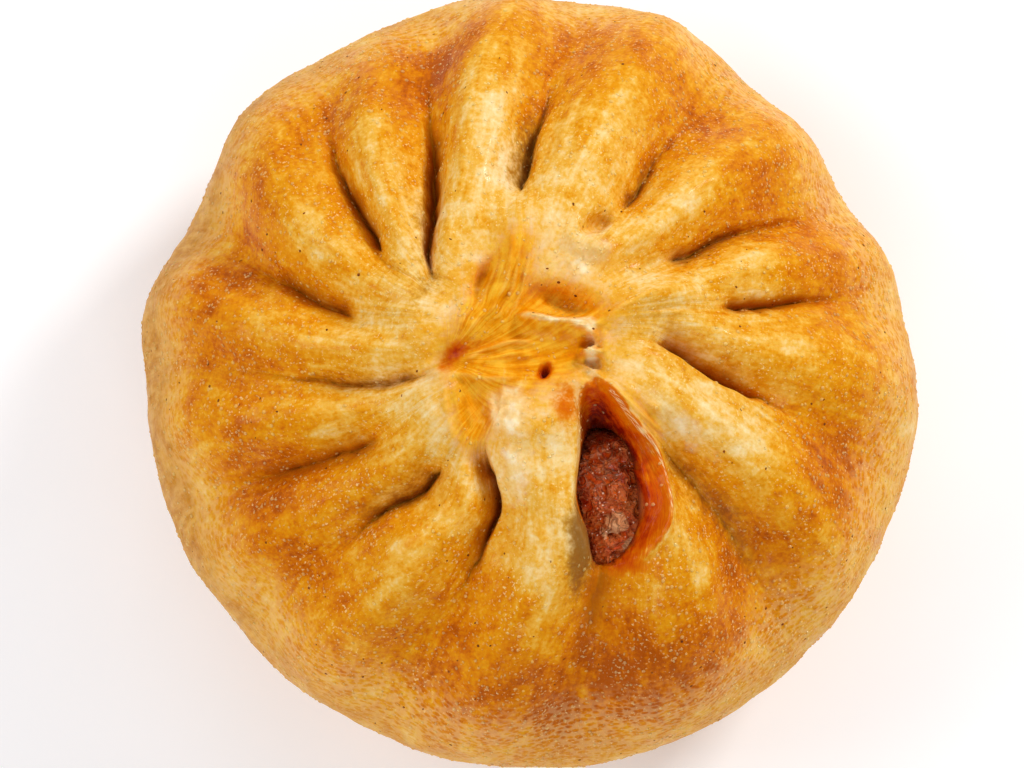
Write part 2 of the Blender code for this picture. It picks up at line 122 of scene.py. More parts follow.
# Each crease: its path as (arc, bearing) points, the width of its wall on either side, the
# lean of the wall that hangs over it, the depth of the wide vale about it, where it is
# deepest (peak), and the share of the painted shade inside it that is warm orange-brown, the rest gray
creases = (
    dict(path=((13.9, 94.9), (20.6, 90.0), (27.8, 86.8), (34.0, 84.0)),
         depth=2.9, ccw=4.4, cw=1.8, lean=-0.8, vale=3.7, warm=0.1),
    dict(path=((10.8, 152.0), (16.0, 133.0), (22.7, 120.4), (36.0, 110.0)),
         depth=4.0, ccw=1.3, cw=3.0, lean=1.0, vale=4.2, warm=1.0),
    dict(path=((13.5, 156.0), (19.1, 149.1), (26.7, 140.2), (37.0, 131.0)),
         start=18.0, depth=3.4, ccw=1.4, cw=2.6, lean=0.6, vale=3.3, peak=0.4, warm=0.9),
    dict(path=((16.0, 173.0), (21.0, 171.0), (28.8, 166.0), (40.0, 160.0)),
         start=17.5, depth=2.8, ccw=1.6, cw=3.0, lean=0.5, vale=4.2, peak=0.4, warm=0.8),
    dict(path=((10.0, 202.5), (15.4, 199.0), (22.0, 191.8), (36.0, 182.5)),
         depth=2.0, ccw=1.6, cw=2.0, lean=0.4, vale=2.8, peak=0.2, warm=0.55),
    dict(path=((16.0, 214.0), (22.3, 211.8), (30.0, 208.0), (44.0, 203.0)),
         start=18.5, depth=2.4, ccw=2.4, cw=3.2, lean=0.4, vale=4.2, peak=0.5, warm=0.8),
    dict(path=((15.8, 235.5), (18.9, 236.2), (25.2, 229.7), (36.0, 225.0)),
         depth=3.3, ccw=1.5, cw=4.2, lean=0.6, vale=3.7, peak=0.25, warm=0.45),
    dict(path=((11.6, 247.0), (17.6, 259.4), (23.7, 256.6), (32.0, 252.0)),
         depth=3.8, ccw=1.2, cw=3.4, lean=1.0, vale=3.7, peak=0.4, warm=0.85),
    dict(path=wallPath, start=23.0, depth=0.6, ccw=3.0, cw=3.0, lean=0.0, vale=3.0, warm=0.8),
    dict(path=((17.0, 320.2), (28.9, 317.6), (48.0, 311.7)),
         depth=1.0, ccw=4.2, cw=4.2, lean=0.0, vale=4.2, peak=0.55, warm=0.5),
    dict(path=((11.5, 357.5), (16.2, 351.2), (22.5, 347.0), (33.0, 344.3)),
         depth=3.6, ccw=4.2, cw=1.3, lean=-0.9, vale=3.2, peak=0.4, warm=0.75),
    dict(path=((20.0, 9.8), (25.5, 9.6), (31.8, 10.2), (42.0, 9.6)),
         depth=2.8, ccw=2.2, cw=1.8, lean=0.3, vale=3.2, peak=0.4, warm=0.9),
    dict(path=((16.4, 29.6), (20.0, 30.4), (25.0, 30.6), (31.0, 29.2), (42.0, 27.0)),
         depth=2.8, ccw=1.3, cw=3.6, lean=0.6, vale=3.9, peak=0.35, warm=0.5),
    dict(path=((16.4, 55.4), (20.0, 55.6), (24.0, 56.2), (34.0, 55.6)),
         depth=2.0, ccw=1.8, cw=1.2, lean=-0.3, vale=3.7, peak=0.35, warm=0.4),
)
creaseShape = dict(
    peak=0.4,
    peakFall=0.35,
    easeIn=0.14,
    easeOut=0.6,
    swayDepth=0.5,
    nearShare=0.55,
    valeSpread=9.0,
    valeStart=8.0,
    valeLead=6.0,
    valeFull=20.0,
    valeRun=4.0,
    valeDepth=3.6,
    valeFade=34.0,
    valeEnd=58.0,
    pathSettle=6.0,
    blend=3.0,
)

# The open pleat: the width of its opening at each arc, and the lip beyond it with the
# crests along its edge as (height, distance back from the edge, half width)
pocket = dict(
    opening=((7.5, 0.3), (9.0, 1.4), (12.5, 3.4), (15.0, 5.2), (18.0, 6.6), (21.0, 5.8), (23.5, 4.2),
             (25.5, 0.8)),
    start=7.6,
    opens=2.2,
    end=26.2,
    closes=3.0,
    depth=9.0,
    wall=1.5,
    edge=1.3,
    lipWidth=3.0,
    lipShares=(0.33, 0.67),
    lipWidens=(14.0, 19.5),
    lipDrop=1.9,
    lipBite=0.4,
    lipRise=0.9,
    lipRisesOver=3.0,
    crests=((0.7, 0.5, 1.2), (0.45, 0.35, 0.45)),
    lipPath=((9.9, 317.0), (13.0, 315.0), (17.6, 311.0), (21.8, 304.5), (24.5, 296.5), (29.0, 291.5),
             (38.0, 288.0)),
)

# Sauce on the lip and the walls of the open pleat, and a painted glint: a pale line along the lip's crest
sauceStain = dict(
    starts=(7.0, 8.6),
    ends=(23.6, 26.6),
    border=0.3,
    wallReach=0.2,
    hubReach=0.9,
    hubEnds=(9.0, 11.0),
    inward=(-0.6, -0.2),
    tones=(0.28, 0.3),
    wallSide=0.2,
    deepTone=0.9,
    deep=(1.6, 3.2),
    wallTone=0.4,
    wallDeep=(2.2, 5.0),
)
glintLine = dict(back=0.4, width=0.35, starts=(8.0, 10.0), ends=(22.0, 25.0))

# Webs of stretched dough that stand proud of the hub: (height, half width, path in plan)
webs = (
    (1.9, 1.9, ((-8.8, -2.6), (-6.4, 1.4), (-3.6, 4.4), (-2.0, 7.4), (-1.2, 11.5), (-0.4, 17.0))),
    (1.4, 1.5, ((-3.0, 3.2), (0.6, 2.0), (3.8, 1.5), (7.5, 1.6), (12.5, 4.4), (19.0, 5.4))),
    (0.8, 1.6, ((-9.0, -3.4), (-3.0, -4.2), (2.2, -4.6), (7.2, -4.8))),
    (1.1, 2.2, ((-8.6, -2.2), (-9.2, -6.5), (-7.8, -13.0))),
    (1.0, 0.7, ((6.8, 1.8), (7.4, -1.2), (7.2, -4.0))),
    (0.8, 0.5, ((4.4, -1.4), (6.0, -1.6), (7.6, -1.4))),
    (1.0, 1.2, ((2.6, 10.6), (5.6, 9.4), (9.4, 9.0))),
)
webSteps = 28

# Fine strands of dough pulled taut over the hub, and the frilled edges of torn skin, likewise
strands = (
    (0.55, 0.32, ((-8.4, -2.2), (-6.0, 0.9), (-3.9, 3.4), (-2.4, 6.6), (-1.8, 11.0))),
    (0.5, 0.28, ((-7.6, -2.0), (-5.0, 0.7), (-3.0, 3.2), (-1.6, 6.4), (-0.9, 11.4))),
    (0.4, 0.26, ((-6.8, -1.6), (-4.2, 0.4), (-2.2, 2.6), (-0.7, 6.0), (0.1, 10.0))),
    (0.45, 0.3, ((-8.6, -1.6), (-6.9, 1.6), (-4.9, 4.4), (-3.2, 7.6), (-2.6, 10.0))),
    (0.55, 0.35, ((-7.4, -2.6), (-4.6, -1.2), (-1.8, -0.6), (1.4, -0.9))),
    (0.4, 0.3, ((-6.8, -3.1), (-4.0, -2.2), (-1.2, -1.9), (1.8, -2.3))),
    (0.9, 0.4, ((-2.2, 2.4), (0.2, 2.15), (2.4, 1.9), (4.6, 1.5), (6.0, 0.6))),
    (0.9, 0.36, ((5.2, 1.2), (6.1, 0.1), (5.8, -1.4), (6.3, -3.0), (6.0, -4.6))),
    (0.7, 0.3, ((4.8, -1.5), (5.9, -1.7), (7.2, -1.5))),
    (0.4, 0.4, ((6.4, 1.4), (8.6, 2.6), (12.0, 4.6), (16.0, 6.0))),
    (0.45, 0.35, ((-8.8, -4.2), (-8.4, -7.2), (-7.4, -11.0))),
    (0.4, 0.3, ((-7.9, -4.4), (-7.3, -7.2), (-6.4, -10.4))),
    (0.35, 0.3, ((-6.9, -4.4), (-6.3, -6.8), (-5.6, -9.4))),
    (0.5, 0.35, ((-8.4, -3.6), (-5.0, -4.2), (-1.6, -4.3), (1.0, -3.9))),
    (0.4, 0.4, ((7.2, -4.0), (9.2, -6.2), (12.0, -8.6), (15.0, -10.4))),
    (0.3, 0.35, ((8.4, -4.2), (10.6, -6.0), (13.6, -7.8))),
)

# All that is placed in plan round the hub stands this far from where it was measured
crownShift = (0.0, -0.6)

# Dents round the hub: (x, y, half length, half width, turn, depth); where the depth is
# negative, a swelling
dents = (
    (3.4, 3.5, 3.3, 1.6, -12, 2.4),
    (-4.8, 5.6, 2.2, 0.8, 62, 1.8),
    (-2.0, 0.2, 4.6, 2.6, 10, -0.9),
    (6.6, 11.9, 1.8, 0.8, 38, 2.4),
    (-5.4, -6.9, 2.8, 1.8, 70, 1.1),
    (10.5, 8.0, 3.0, 2.0, 30, 1.0),
    (0.3, -8.2, 3.6, 2.4, 0, -1.5),
    (-10.0, 1.0, 2.4, 3.4, 0, -0.8),
    (1.2, -3.4, 0.7, 0.45, 60, 1.8),
    (5.7, -0.6, 0.65, 0.5, 20, 2.0),
    (6.3, -2.6, 0.8, 0.6, -30, 2.0),
)

# How far the rim stands out or in at a bearing: (bearing, spread, reach)
rimWaves = (
    (10, 9, -1.0),
    (29, 9, -2.3),
    (47, 12, -1.6),
    (75, 12, 0.5),
    (101, 14, 1.0),
    (135, 10, 1.0),
    (154, 9, -1.0),
    (171, 8, 1.0),
    (215, 18, -0.4),
    (332, 16, -0.5),
)


def bodyProfile():
    # radius, height and arc of the plain body, from the hub over the side to the foot's middle
    domeSteps, flankSteps, footSteps = body["profileSteps"]
    lean = np.linspace(0.0, math.pi / 2, domeSteps)
    domeRadius = body["planRadius"] * np.sin(lean) ** (2.0 / body["domeSquareness"])
    domeHeight = body["ringHeight"] + body["domeHeight"] * np.cos(lean)
    domeHeight -= body["hubSink"] * np.exp(-((domeRadius / body["hubRadius"]) ** 2))
    drop = body["ringHeight"] + body["footCut"]
    footLean = math.asin((body["ringHeight"] / drop) ** (body["flankSquareness"] / 2.0))
    lean = np.linspace(0.0, footLean, flankSteps)[1:]
    flankRadius = body["planRadius"] * np.cos(lean) ** (2.0 / body["flankSquareness"])
    flankHeight = body["ringHeight"] - drop * np.sin(lean) ** (2.0 / body["flankSquareness"])
    flankHeight[-1] = 0.0
    footRadius = np.linspace(flankRadius[-1], 0.0, footSteps)[1:]
    radius = np.concatenate([domeRadius, flankRadius, footRadius])
    height = np.concatenate([domeHeight, flankHeight, np.zeros(len(footRadius))])
    arc = np.concatenate([[0.0], np.cumsum(np.hypot(np.diff(radius), np.diff(height)))])
    ringArc = arc[len(domeRadius) - 1]
    footArc = arc[len(domeRadius) + len(flankRadius) - 1]
    return radius, height, arc, ringArc, footArc


profile = bodyProfile()


def bearingOn(path, arc):
    # beyond its ends a path settles to a fixed bearing
    settle = creaseShape["pathSettle"]
    x, y = np.array(path, float).T
    slope = np.gradient(y, x)
    before = settle * (1.0 - np.exp(-np.clip(x[0] - arc, 0.0, None) / settle))
    beyond = settle * (1.0 - np.exp(-np.clip(arc - x[-1], 0.0, None) / settle))
    return smoothThrough(path, arc) - slope[0] * before + slope[-1] * beyond


def signedDistance(path, arc, bearing, radius):
    # distance across a path, positive on its ccw side
    step = 0.5
    slope = np.radians(bearingOn(path, arc + step) - bearingOn(path, arc - step)) / (2 * step)
    slant = np.cos(np.arctan(radius * slope))
    return radius * np.radians(turned(bearing - bearingOn(path, arc))) * slant


def pinch(share):
    # section of the cusp between two round pleats
    near = np.clip(1.0 - share, 0.0, 1.0)
    return 1.0 - np.sqrt(1.0 - near**2)


def creaseRelief(crease, arc, bearing, radius, sway):
    shape = creaseShape
    start = crease.get("start", crease["path"][0][0])
    end = crease["path"][-1][0]
    across = signedDistance(crease["path"], arc, bearing, radius) + sway
    share = (arc - start) / (end - start)
    along = eased(share, 0.0, shape["easeIn"]) * (1.0 - eased(share, 1.0 - shape["easeOut"], 1.0))
    peak = crease.get("peak", shape["peak"])
    along = along * (1.0 - shape["peakFall"] * np.clip(np.abs(share - peak), 0.0, 1.0))
    wall = np.where(across > 0, crease["ccw"], crease["cw"])
    uneven = 1.0 + shape["swayDepth"] * sway
    depth = crease["depth"] * along * uneven * pinch(np.abs(across) / wall)
    lean = crease["lean"]
    steep = crease["ccw"] if lean > 0 else crease["cw"]
    out = across * math.copysign(1.0, lean) / steep
    hang = np.where(out > 0, np.clip(out, 0, 1) * np.exp(-np.clip(out - 1.0, 0.0, 9.0)), 0.0)
    shift = -lean * along * hang
    turn = turned(bearing - bearingOn(crease["path"], arc)) / shape["valeSpread"]
    first = max(shape["valeStart"], start - shape["valeLead"])
    inner = eased(arc, first, max(shape["valeFull"], start + shape["valeRun"]))
    vale = crease["vale"] * np.exp(-(turn**2)) * inner
    vale = vale * (1.0 - eased(arc, shape["valeFade"], shape["valeEnd"]))
    near = along * np.exp(-((across / (shape["nearShare"] * wall)) ** 2))
    return depth, shift, vale, near


def pocketRelief(arc, bearing, radius):
    # depth of the open pleat, height of the crest along its lip, and where the sauce stains it
    across = signedDistance(wallPath, arc, bearing, radius)
    inner = np.clip(smoothThrough(pocket["opening"], arc), 0.0, None)
    narrow, wider = pocket["lipShares"]
    lipEdge = inner + pocket["lipWidth"] * (narrow + wider * eased(arc, *pocket["lipWidens"]))
    drop = pocket["lipDrop"] / pocket["depth"]
    lip = drop * (1.0 - eased(across, inner - pocket["lipBite"], lipEdge))
    lip = lip + (1.0 - drop) * (1.0 - eased(across, inner - pocket["edge"], inner))
    wall = 1.0 - eased(-across, 0.0, pocket["wall"])
    start, end = pocket["start"], pocket["end"]
    closing = 1.0 - eased(arc, end - pocket["closes"], end)
    depth = pocket["depth"] * eased(arc, start, start + pocket["opens"]) * closing
    depth = depth * np.where(across > 0, lip, wall)
    near = 0.0
    for height, back, wide in pocket["crests"]:
        near = near + height * np.exp(-(((across - lipEdge + back) / wide) ** 2))
    crest = pocket["lipRise"] * near * eased(arc, start, start + pocket["lipRisesOver"]) * closing

    stain = sauceStain
    border = stain["border"]
    first = -stain["wallReach"] - stain["hubReach"] * (1.0 - eased(arc, *stain["hubEnds"]))
    stained = eased(across, first, border)
    stained = stained * (1.0 - eased(across, lipEdge - border, lipEdge + border))
    stained = stained * eased(arc, *stain["starts"]) * (1.0 - eased(arc, *stain["ends"]))
    inward = 1.0 - eased(across, inner + stain["inward"][0], lipEdge + stain["inward"][1])
    deep = stain["deepTone"] * eased(depth, *stain["deep"])
    wallDeep = stain["wallTone"] * eased(depth, *stain["wallDeep"])
    deep = np.where(across > stain["wallSide"], deep, wallDeep)
    sauce = np.maximum((stain["tones"][0] + stain["tones"][1] * inward) * stained, deep)
    # painted glint: a pale line just inside the crest of the lip
    glint = np.exp(-(((across - lipEdge + glintLine["back"]) / glintLine["width"]) ** 2))
    glint = glint * eased(arc, *glintLine["starts"]) * (1.0 - eased(arc, *glintLine["ends"]))
    return depth, crest, sauce, glint


def curveThrough(points):
    knots = np.array(points, float)
    place = np.concatenate([[0.0], np.cumsum(np.hypot(*np.diff(knots, axis=0).T))])
    step = np.linspace(0.0, place[-1], webSteps)
    columns = [smoothThrough(np.stack([place, knots[:, axis]], axis=-1), step) for axis in (0, 1)]
    return np.stack(columns, axis=-1)


def webHeight(webs, east, north):
    total = np.zeros_like(east)
    for height, width, path in webs:
        curve = curveThrough(path)
        best = np.full(east.shape, np.inf)
        share = np.zeros(east.shape)
        for number, (first, last) in enumerate(zip(curve[:-1], curve[1:])):
            run = last - first
            spot = ((east - first[0]) * run[0] + (north - first[1]) * run[1]) / (run @ run)
            spot = np.clip(spot, 0.0, 1.0)
            gap = np.hypot(east - first[0] - spot * run[0], north - first[1] - spot * run[1])
            share = np.where(gap < best, (number + spot) / (webSteps - 1), share)
            best = np.minimum(best, gap)
        ends = eased(share, 0.0, 0.2) * (1.0 - eased(share, 0.75, 1.0))
        total = np.maximum(total, height * ends * np.exp(-((best / width) ** 1.8)))
    return total


def spotsIn(spots, east, north, steepness=1.0):
    # sum of elliptical spots in plan, each with its own strength
    total = np.zeros_like(east)
    for x, y, long, wide, turn, strength in spots:
        turn = math.radians(turn)
        dx, dy = east - x, north - y
        along = (dx * math.cos(turn) + dy * math.sin(turn)) / long
        across = (dy * math.cos(turn) - dx * math.sin(turn)) / wide
        total += strength * np.exp(-((along**2 + across**2) ** steepness))
    return total


def rimReach(bearing):
    total = np.zeros_like(bearing)
    for middle, spread, reach in rimWaves:
        total += reach * np.exp(-((turned(bearing - middle) / spread) ** 2))
    return total


# Where the skin round the hub is soaked with sauce, creamy, torn and stretched thin, and where
# gray shade is painted into its hollows and creases: (x, y, half length, half width, turn, strength)
sauceSpots = (
    (-7.9, -2.0, 1.7, 0.75, 52, 0.46),
    (-5.2, -0.9, 2.8, 0.7, 12, 0.18),
    (9.4, -22.6, 2.4, 1.5, 10, 0.34),
    (3.3, -6.8, 1.4, 2.9, 8, 0.26),
    (-5.6, -7.4, 1.6, 2.6, 0, 0.1),
    (1.2, -3.4, 0.9, 0.6, 60, 0.8),
)
creamSpots = (
    (-2.6, -7.2, 2.2, 1.7, 60, 1.0),
    (-1.4, -12.5, 4.6, 1.7, 95, 0.6),
    (1.8, 1.9, 3.2, 0.4, -6, 0.8),
    (5.9, -1.9, 2.4, 0.6, 92, 0.9),
    (5.4, 1.3, 1.0, 0.7, 0, 0.8),
    (5.5, 8.0, 3.0, 2.2, 40, 0.65),
    (15.0, -8.6, 5.6, 1.3, -40, 0.5),
    (-9.8, -3.6, 1.6, 0.5, 0, 0.5),
)
# painted gray shade in the hollows and creases round the hub and below the open pleat
grayShadeSpots = (
    (5.3, -19.8, 3.6, 1.7, 99, 1.4),
    (4.0, 3.0, 2.2, 0.9, -8, 0.45),
    (4.3, -24.0, 3.0, 0.9, 95, 0.7),
    (-11.9, 12.4, 0.7, 6.5, 2, 0.5),
    (7.2, 10.4, 3.0, 0.8, 40, 0.22),
    (5.8, -3.0, 1.0, 1.4, 0, 0.6),
    (-10.4, 5.6, 0.8, 3.0, -20, 0.4),
)
tornSpots = (
    (5.6, -1.6, 3.0, 1.5, 92, 1.0),
    (6.0, -10.2, 3.4, 1.3, 100, 0.9),
    (3.0, 1.7, 3.4, 0.8, -8, 0.7),
    (-9.6, -3.6, 2.4, 1.2, 0, 0.8),
    (-2.6, -7.0, 2.4, 2.0, 60, 0.6),
    (-5.2, 6.0, 2.2, 0.9, 62, 0.6),
    (5.5, 8.5, 4.0, 2.6, 40, 0.35),
    (1.0, -4.0, 6.0, 0.8, -4, 0.5),
)
thinSpots = (
    (-1.6, -1.2, 6.4, 3.0, 8, 1.0),
    (-3.4, 5.4, 5.6, 1.9, 66, 0.8),
    (-5.8, -7.6, 2.0, 4.2, 0, 0.8),
    (4.0, 3.4, 4.0, 1.8, -10, 0.5),
    (11.9, -8.4, 3.8, 1.0, -52, 0.6),
    (0.0, 0.0, 8.5, 8.5, 0, 0.55),
)

# The place from which the stretched fibres of the crown fan out, their twist per mm, and how
# close together they run across and along
pull = dict(x=-8.6, y=-2.2, twist=1.2, across=11.0, along=0.1)

# Sway of the creases and strands: (size of the waves, reach)
swaying = ((5.0, 0.5), (1.8, 0.25))

# Patches that the pan has toasted more or less: (bearing, arc, half width in degrees, half
# length, strength)
toastSpots = (
    (290, 38.0, 15, 8.0, 0.30),
    (264, 35.0, 9, 6.0, 0.14),
    (212, 34.5, 8, 5.0, 0.17),
    (196, 31.0, 7, 5.0, 0.15),
    (174, 36.0, 9, 5.0, 0.17),
    (150, 35.0, 10, 5.0, 0.14),
    (109, 36.0, 10, 6.0, 0.19),
    (72, 33.0, 8, 6.0, 0.14),
    (40, 31.0, 10, 4.5, 0.16),
    (14, 37.0, 9, 5.0, 0.08),
    (15, 28.0, 12, 6.0, -0.1),
    (125, 24.0, 6, 8.0, -0.12),
    (272, 43.0, 30, 7.0, 0.2),
    (338, 38.0, 9, 7.0, 0.19),
    (100, 20.0, 5, 9.0, -0.19),
    (300, 34.0, 5, 6.0, 0.08),
    (338, 22.0, 10, 9.0, -0.16),
)


# How far the skin is toasted at the hub, and what the shoulders and the side add or take, and
# the painted shade that darkens the vales between the pleats, with the arcs over which each comes in
toasting = dict(
    hub=0.31,
    shoulder=0.1,
    shoulderArcs=(20.0, 30.0),
    outerShoulder=0.14,
    outerShoulderArcs=(29.0, 37.0),
    side=0.06,
    sideArcs=(41.0, 50.0),
    # painted shade: how much darker the vales between the pleats are drawn
    vale=0.24,
    valeShadeStarts=(12.0, 20.0),
    valeShadeEnds=(34.0, 46.0),
)

# Where other masks of the skin come in and go: as arcs, bearings in degrees and shares
maskReach = dict(
    side=(38.5, 52.0),
    sideShares=(0.3, 0.7),
    sideBearing=172.0,
    sideSpread=48.0,
    foot=7.0,
    crown=(6.0, 13.0),
    strand=0.5,
    rim=(38.0, 46.0),
    rimFades=(52.0, 62.0),
    rimFade=0.7,
)


def toastAt(arc, bearing, dip):
    # how far the skin is toasted: pale inside, deepest on the shoulders, tan on the side; painted shade
    # darkens the vales
    ring = toasting["shoulder"] * eased(arc, *toasting["shoulderArcs"])
    ring = ring + toasting["outerShoulder"] * eased(arc, *toasting["outerShoulderArcs"])
    side = toasting["side"] * eased(arc, *toasting["sideArcs"])
    # painted shade: the vales between the pleats are drawn darker, as if more toasted
    vale = toasting["vale"] * dip * eased(arc, *toasting["valeShadeStarts"])
    total = toasting["hub"] + ring - side + vale * (1.0 - eased(arc, *toasting["valeShadeEnds"]))
    for spotBearing, spotArc, wide, long, strength in toastSpots:
        turn = turned(bearing - spotBearing) / wide
        total = total + strength * np.exp(-(turn**2) - ((arc - spotArc) / long) ** 2)
    return total


def skinPoints(arc, bearing):
    # points of the skin, its outward directions, and the masks that colour it
    radiusTable, heightTable, arcTable, ringArc, footArc = profile
    radius = np.interp(arc, arcTable, radiusTable)
    height = np.interp(arc, arcTable, heightTable)
    outward = -np.interp(arc, arcTable, np.gradient(heightTable, arcTable))
    upward = np.interp(arc, arcTable, np.gradient(radiusTable, arcTable))

    east, north = radius * np.cos(np.radians(bearing)), radius * np.sin(np.radians(bearing))
    plan = np.stack([east, north, height], axis=-1)
    east, north = east - crownShift[0], north - crownShift[1]
    sway = layeredNoise(plan, swaying, 41)
    folds, shift, vales = np.zeros_like(arc), np.zeros_like(arc), np.zeros_like(arc)
    warm, damp = np.zeros_like(arc), np.zeros_like(arc)
    # painted shade: each crease's inside is darkened, warm orange-brown or gray by its share
    for crease in creases:
        depth, lean, vale, near = creaseRelief(crease, arc, bearing, radius, sway)
        folds += depth ** creaseShape["blend"]
        vales += vale
        shift += lean
        warm = np.maximum(warm, near * crease["warm"])
        damp = np.maximum(damp, near**1.5 * (1.0 - crease["warm"]))
    hollow, crest, sauce, glint = pocketRelief(arc, bearing, radius)
    folds = (folds + hollow ** creaseShape["blend"]) ** (1.0 / creaseShape["blend"])

    web = webHeight(webs, east, north)
    strand = webHeight(strands, east + 0.5 * sway, north - 0.5 * sway)
    strand *= 1.0 + 0.9 * noiseOver(plan, 1.9, 46)
    relief = web + strand + crest - folds - vales - spotsIn(dents, east, north, 1.3)
    relief *= eased(height, 0.0, body["skinFadeHeight"])
    reach = rimReach(bearing) * radius / body["planRadius"]
    out = radius + reach + outward * relief
    angle = np.radians(bearing) + shift / np.maximum(radius, 1.0)
    points = np.stack([out * np.cos(angle), out * np.sin(angle), height + upward * relief], axis=-1)
    ways = np.stack([outward * np.cos(angle), outward * np.sin(angle), upward], axis=-1)

    def marked(spots):
        return np.clip(spotsIn(spots, east, north) * (arc < ringArc), 0.0, 1.0)

    dip = np.clip(vales / creaseShape["valeDepth"], 0.0, 1.0)
    given = maskReach
    least, more = given["sideShares"]
    facing = turned(bearing - given["sideBearing"]) / given["sideSpread"]
    masks = dict(
        toast=toastAt(arc, bearing, dip),
        warm=warm,
        damp=np.maximum(damp, marked(grayShadeSpots)),
        sauce=np.clip(sauce + spotsIn(sauceSpots, east, north), 0.0, 1.0),
        thin=marked(thinSpots),
        torn=marked(tornSpots),
        cream=marked(creamSpots),
        side=eased(arc, *given["side"]) * (least + more * np.exp(-(facing**2))),
        foot=eased(arc, footArc - given["foot"], footArc),
        crown=1.0 - eased(arc, *given["crown"]),
        strand=np.clip(strand / given["strand"], 0.0, 1.0),
        glint=glint,
        rim=eased(arc, *given["rim"]) * (1.0 - given["rimFade"] * eased(arc, *given["rimFades"])),
    )
    dx, dy = east - pull["x"], north - pull["y"]
    reach = np.hypot(dx, dy)
    fan = np.arctan2(dy, dx) - math.radians(pull["twist"]) * reach
    across, along = pull["across"], pull["along"]
    masks["pull"] = np.stack([np.cos(fan) * across, np.sin(fan) * across, reach * along], axis=-1)
    return points, ways, masks


def guideBearings(arcs):
    # bearing of every crease and of the lip at each arc, in order and kept apart
    leastGap = 5.0
    paths = [crease["path"] for crease in creases] + [pocket["lipPath"]]
    inner = np.clip(arcs, 12.0, 40.0)
    rows = np.array([bearingOn(path, inner) for path in paths])
    middle = len(arcs) // 2
    rows = np.unwrap(rows, period=360, axis=1)
    rows -= 360 * np.floor(rows[:, middle] / 360)[:, None]
    rows = rows[np.argsort(rows[:, middle])]
    for _ in range(60):
        gap = np.roll(rows, -1, axis=0) - rows
        gap[-1] += 360
        push = np.clip(leastGap - gap, 0, None) / 2
        rows = rows - push + np.roll(push, 1, axis=0)
    return rows


def gridBearings(arcs):
    # columns that run along the creases and crowd towards them
    rows = guideBearings(arcs)
    gap = np.roll(rows, -1, axis=0) - rows
    gap[-1] += 360
    shares = np.maximum(3, np.round(gap[:, len(arcs) // 2] / 360 * body["columns"])).astype(int)
    shares[np.argmax(shares)] += body["columns"] - shares.sum()
    grid = []
    for start, width, count in zip(rows, gap, shares):
        t = np.arange(count) / count
        t = t - body["columnCrowding"] * np.sin(2 * math.pi * t) / (2 * math.pi)
        grid.append(start[:, None] + width[:, None] * t)
    return np.concatenate(grid, axis=1)


def closedFaces(rings, columns):
    # faces over rings of vertices between two poles, which are the first vertex and the last
    last = 1 + rings * columns
    rim = last - columns
    faces = [(0, 1 + c, 1 + (c + 1) % columns) for c in range(columns)]
    for a in range(1, rim, columns):
        b = a + columns
        faces += [(a + c, b + c, b + (c + 1) % columns, a + (c + 1) % columns) for c in range(columns)]
    faces += [(rim + c, last, rim + (c + 1) % columns) for c in range(columns)]
    return faces


def meshPiece(name, vertices, faces):
    mesh = bpy.data.meshes.new(name)
    mesh.from_pydata((np.asarray(vertices) * mm).tolist(), [], faces)
    mesh.update()
    mesh.shade_smooth()
    piece = bpy.data.objects.new(name, mesh)
    bpy.context.scene.collection.objects.link(piece)
    return piece


def writeMask(mesh, name, values):
    flat = values.ndim == 1
    kind = "FLOAT" if flat else "FLOAT_VECTOR"
    layer = mesh.attributes.get(name) or mesh.attributes.new(name, kind, "POINT")
    layer.data.foreach_set("value" if flat else "vector", values.astype(np.float32).ravel())


def readMask(mesh, name):
    values = np.zeros(len(mesh.vertices), np.float32)
    mesh.attributes[name].data.foreach_get("value", values)
    return values


def settleModifiers(piece):
    # what its modifiers make of a piece becomes its plain mesh
    bpy.context.view_layer.update()
    old = piece.data
    shown = piece.evaluated_get(bpy.context.evaluated_depsgraph_get())
    piece.data = bpy.data.meshes.new_from_object(shown)
    piece.modifiers.clear()
    bpy.data.meshes.remove(old)


# Unevenness that the hand and the frying leave in the skin: (size of the lumps, height)
lumps = ((14.0, 0.55), (6.0, 0.22), (2.6, 0.1), (1.1, 0.05))
fibres = ((1.3, 0.22), (0.6, 0.12))
fibreFlow = dict(across=20.0, along=0.16)
pulled = ((1.2, 0.13), (0.55, 0.07))
veins = ((2.4, 0.5), (1.2, 0.35))
crownLumps, creamLumps = (1.6, 0.16), (0.8, 0.3)
footDimples = dict(size=3.0, depth=0.25, fade=3.0)

# Arcs over which the fibres start and then fade, the sharpness of the veins of torn skin with
# the level that they stand on, and the height over which all this fades towards the floor
fibreReach = dict(starts=(8.0, 15.0), fades=(30.0, 40.0), fade=0.5)
veinShape = dict(sharpness=3.2, level=0.25)
floorFade = 6.0


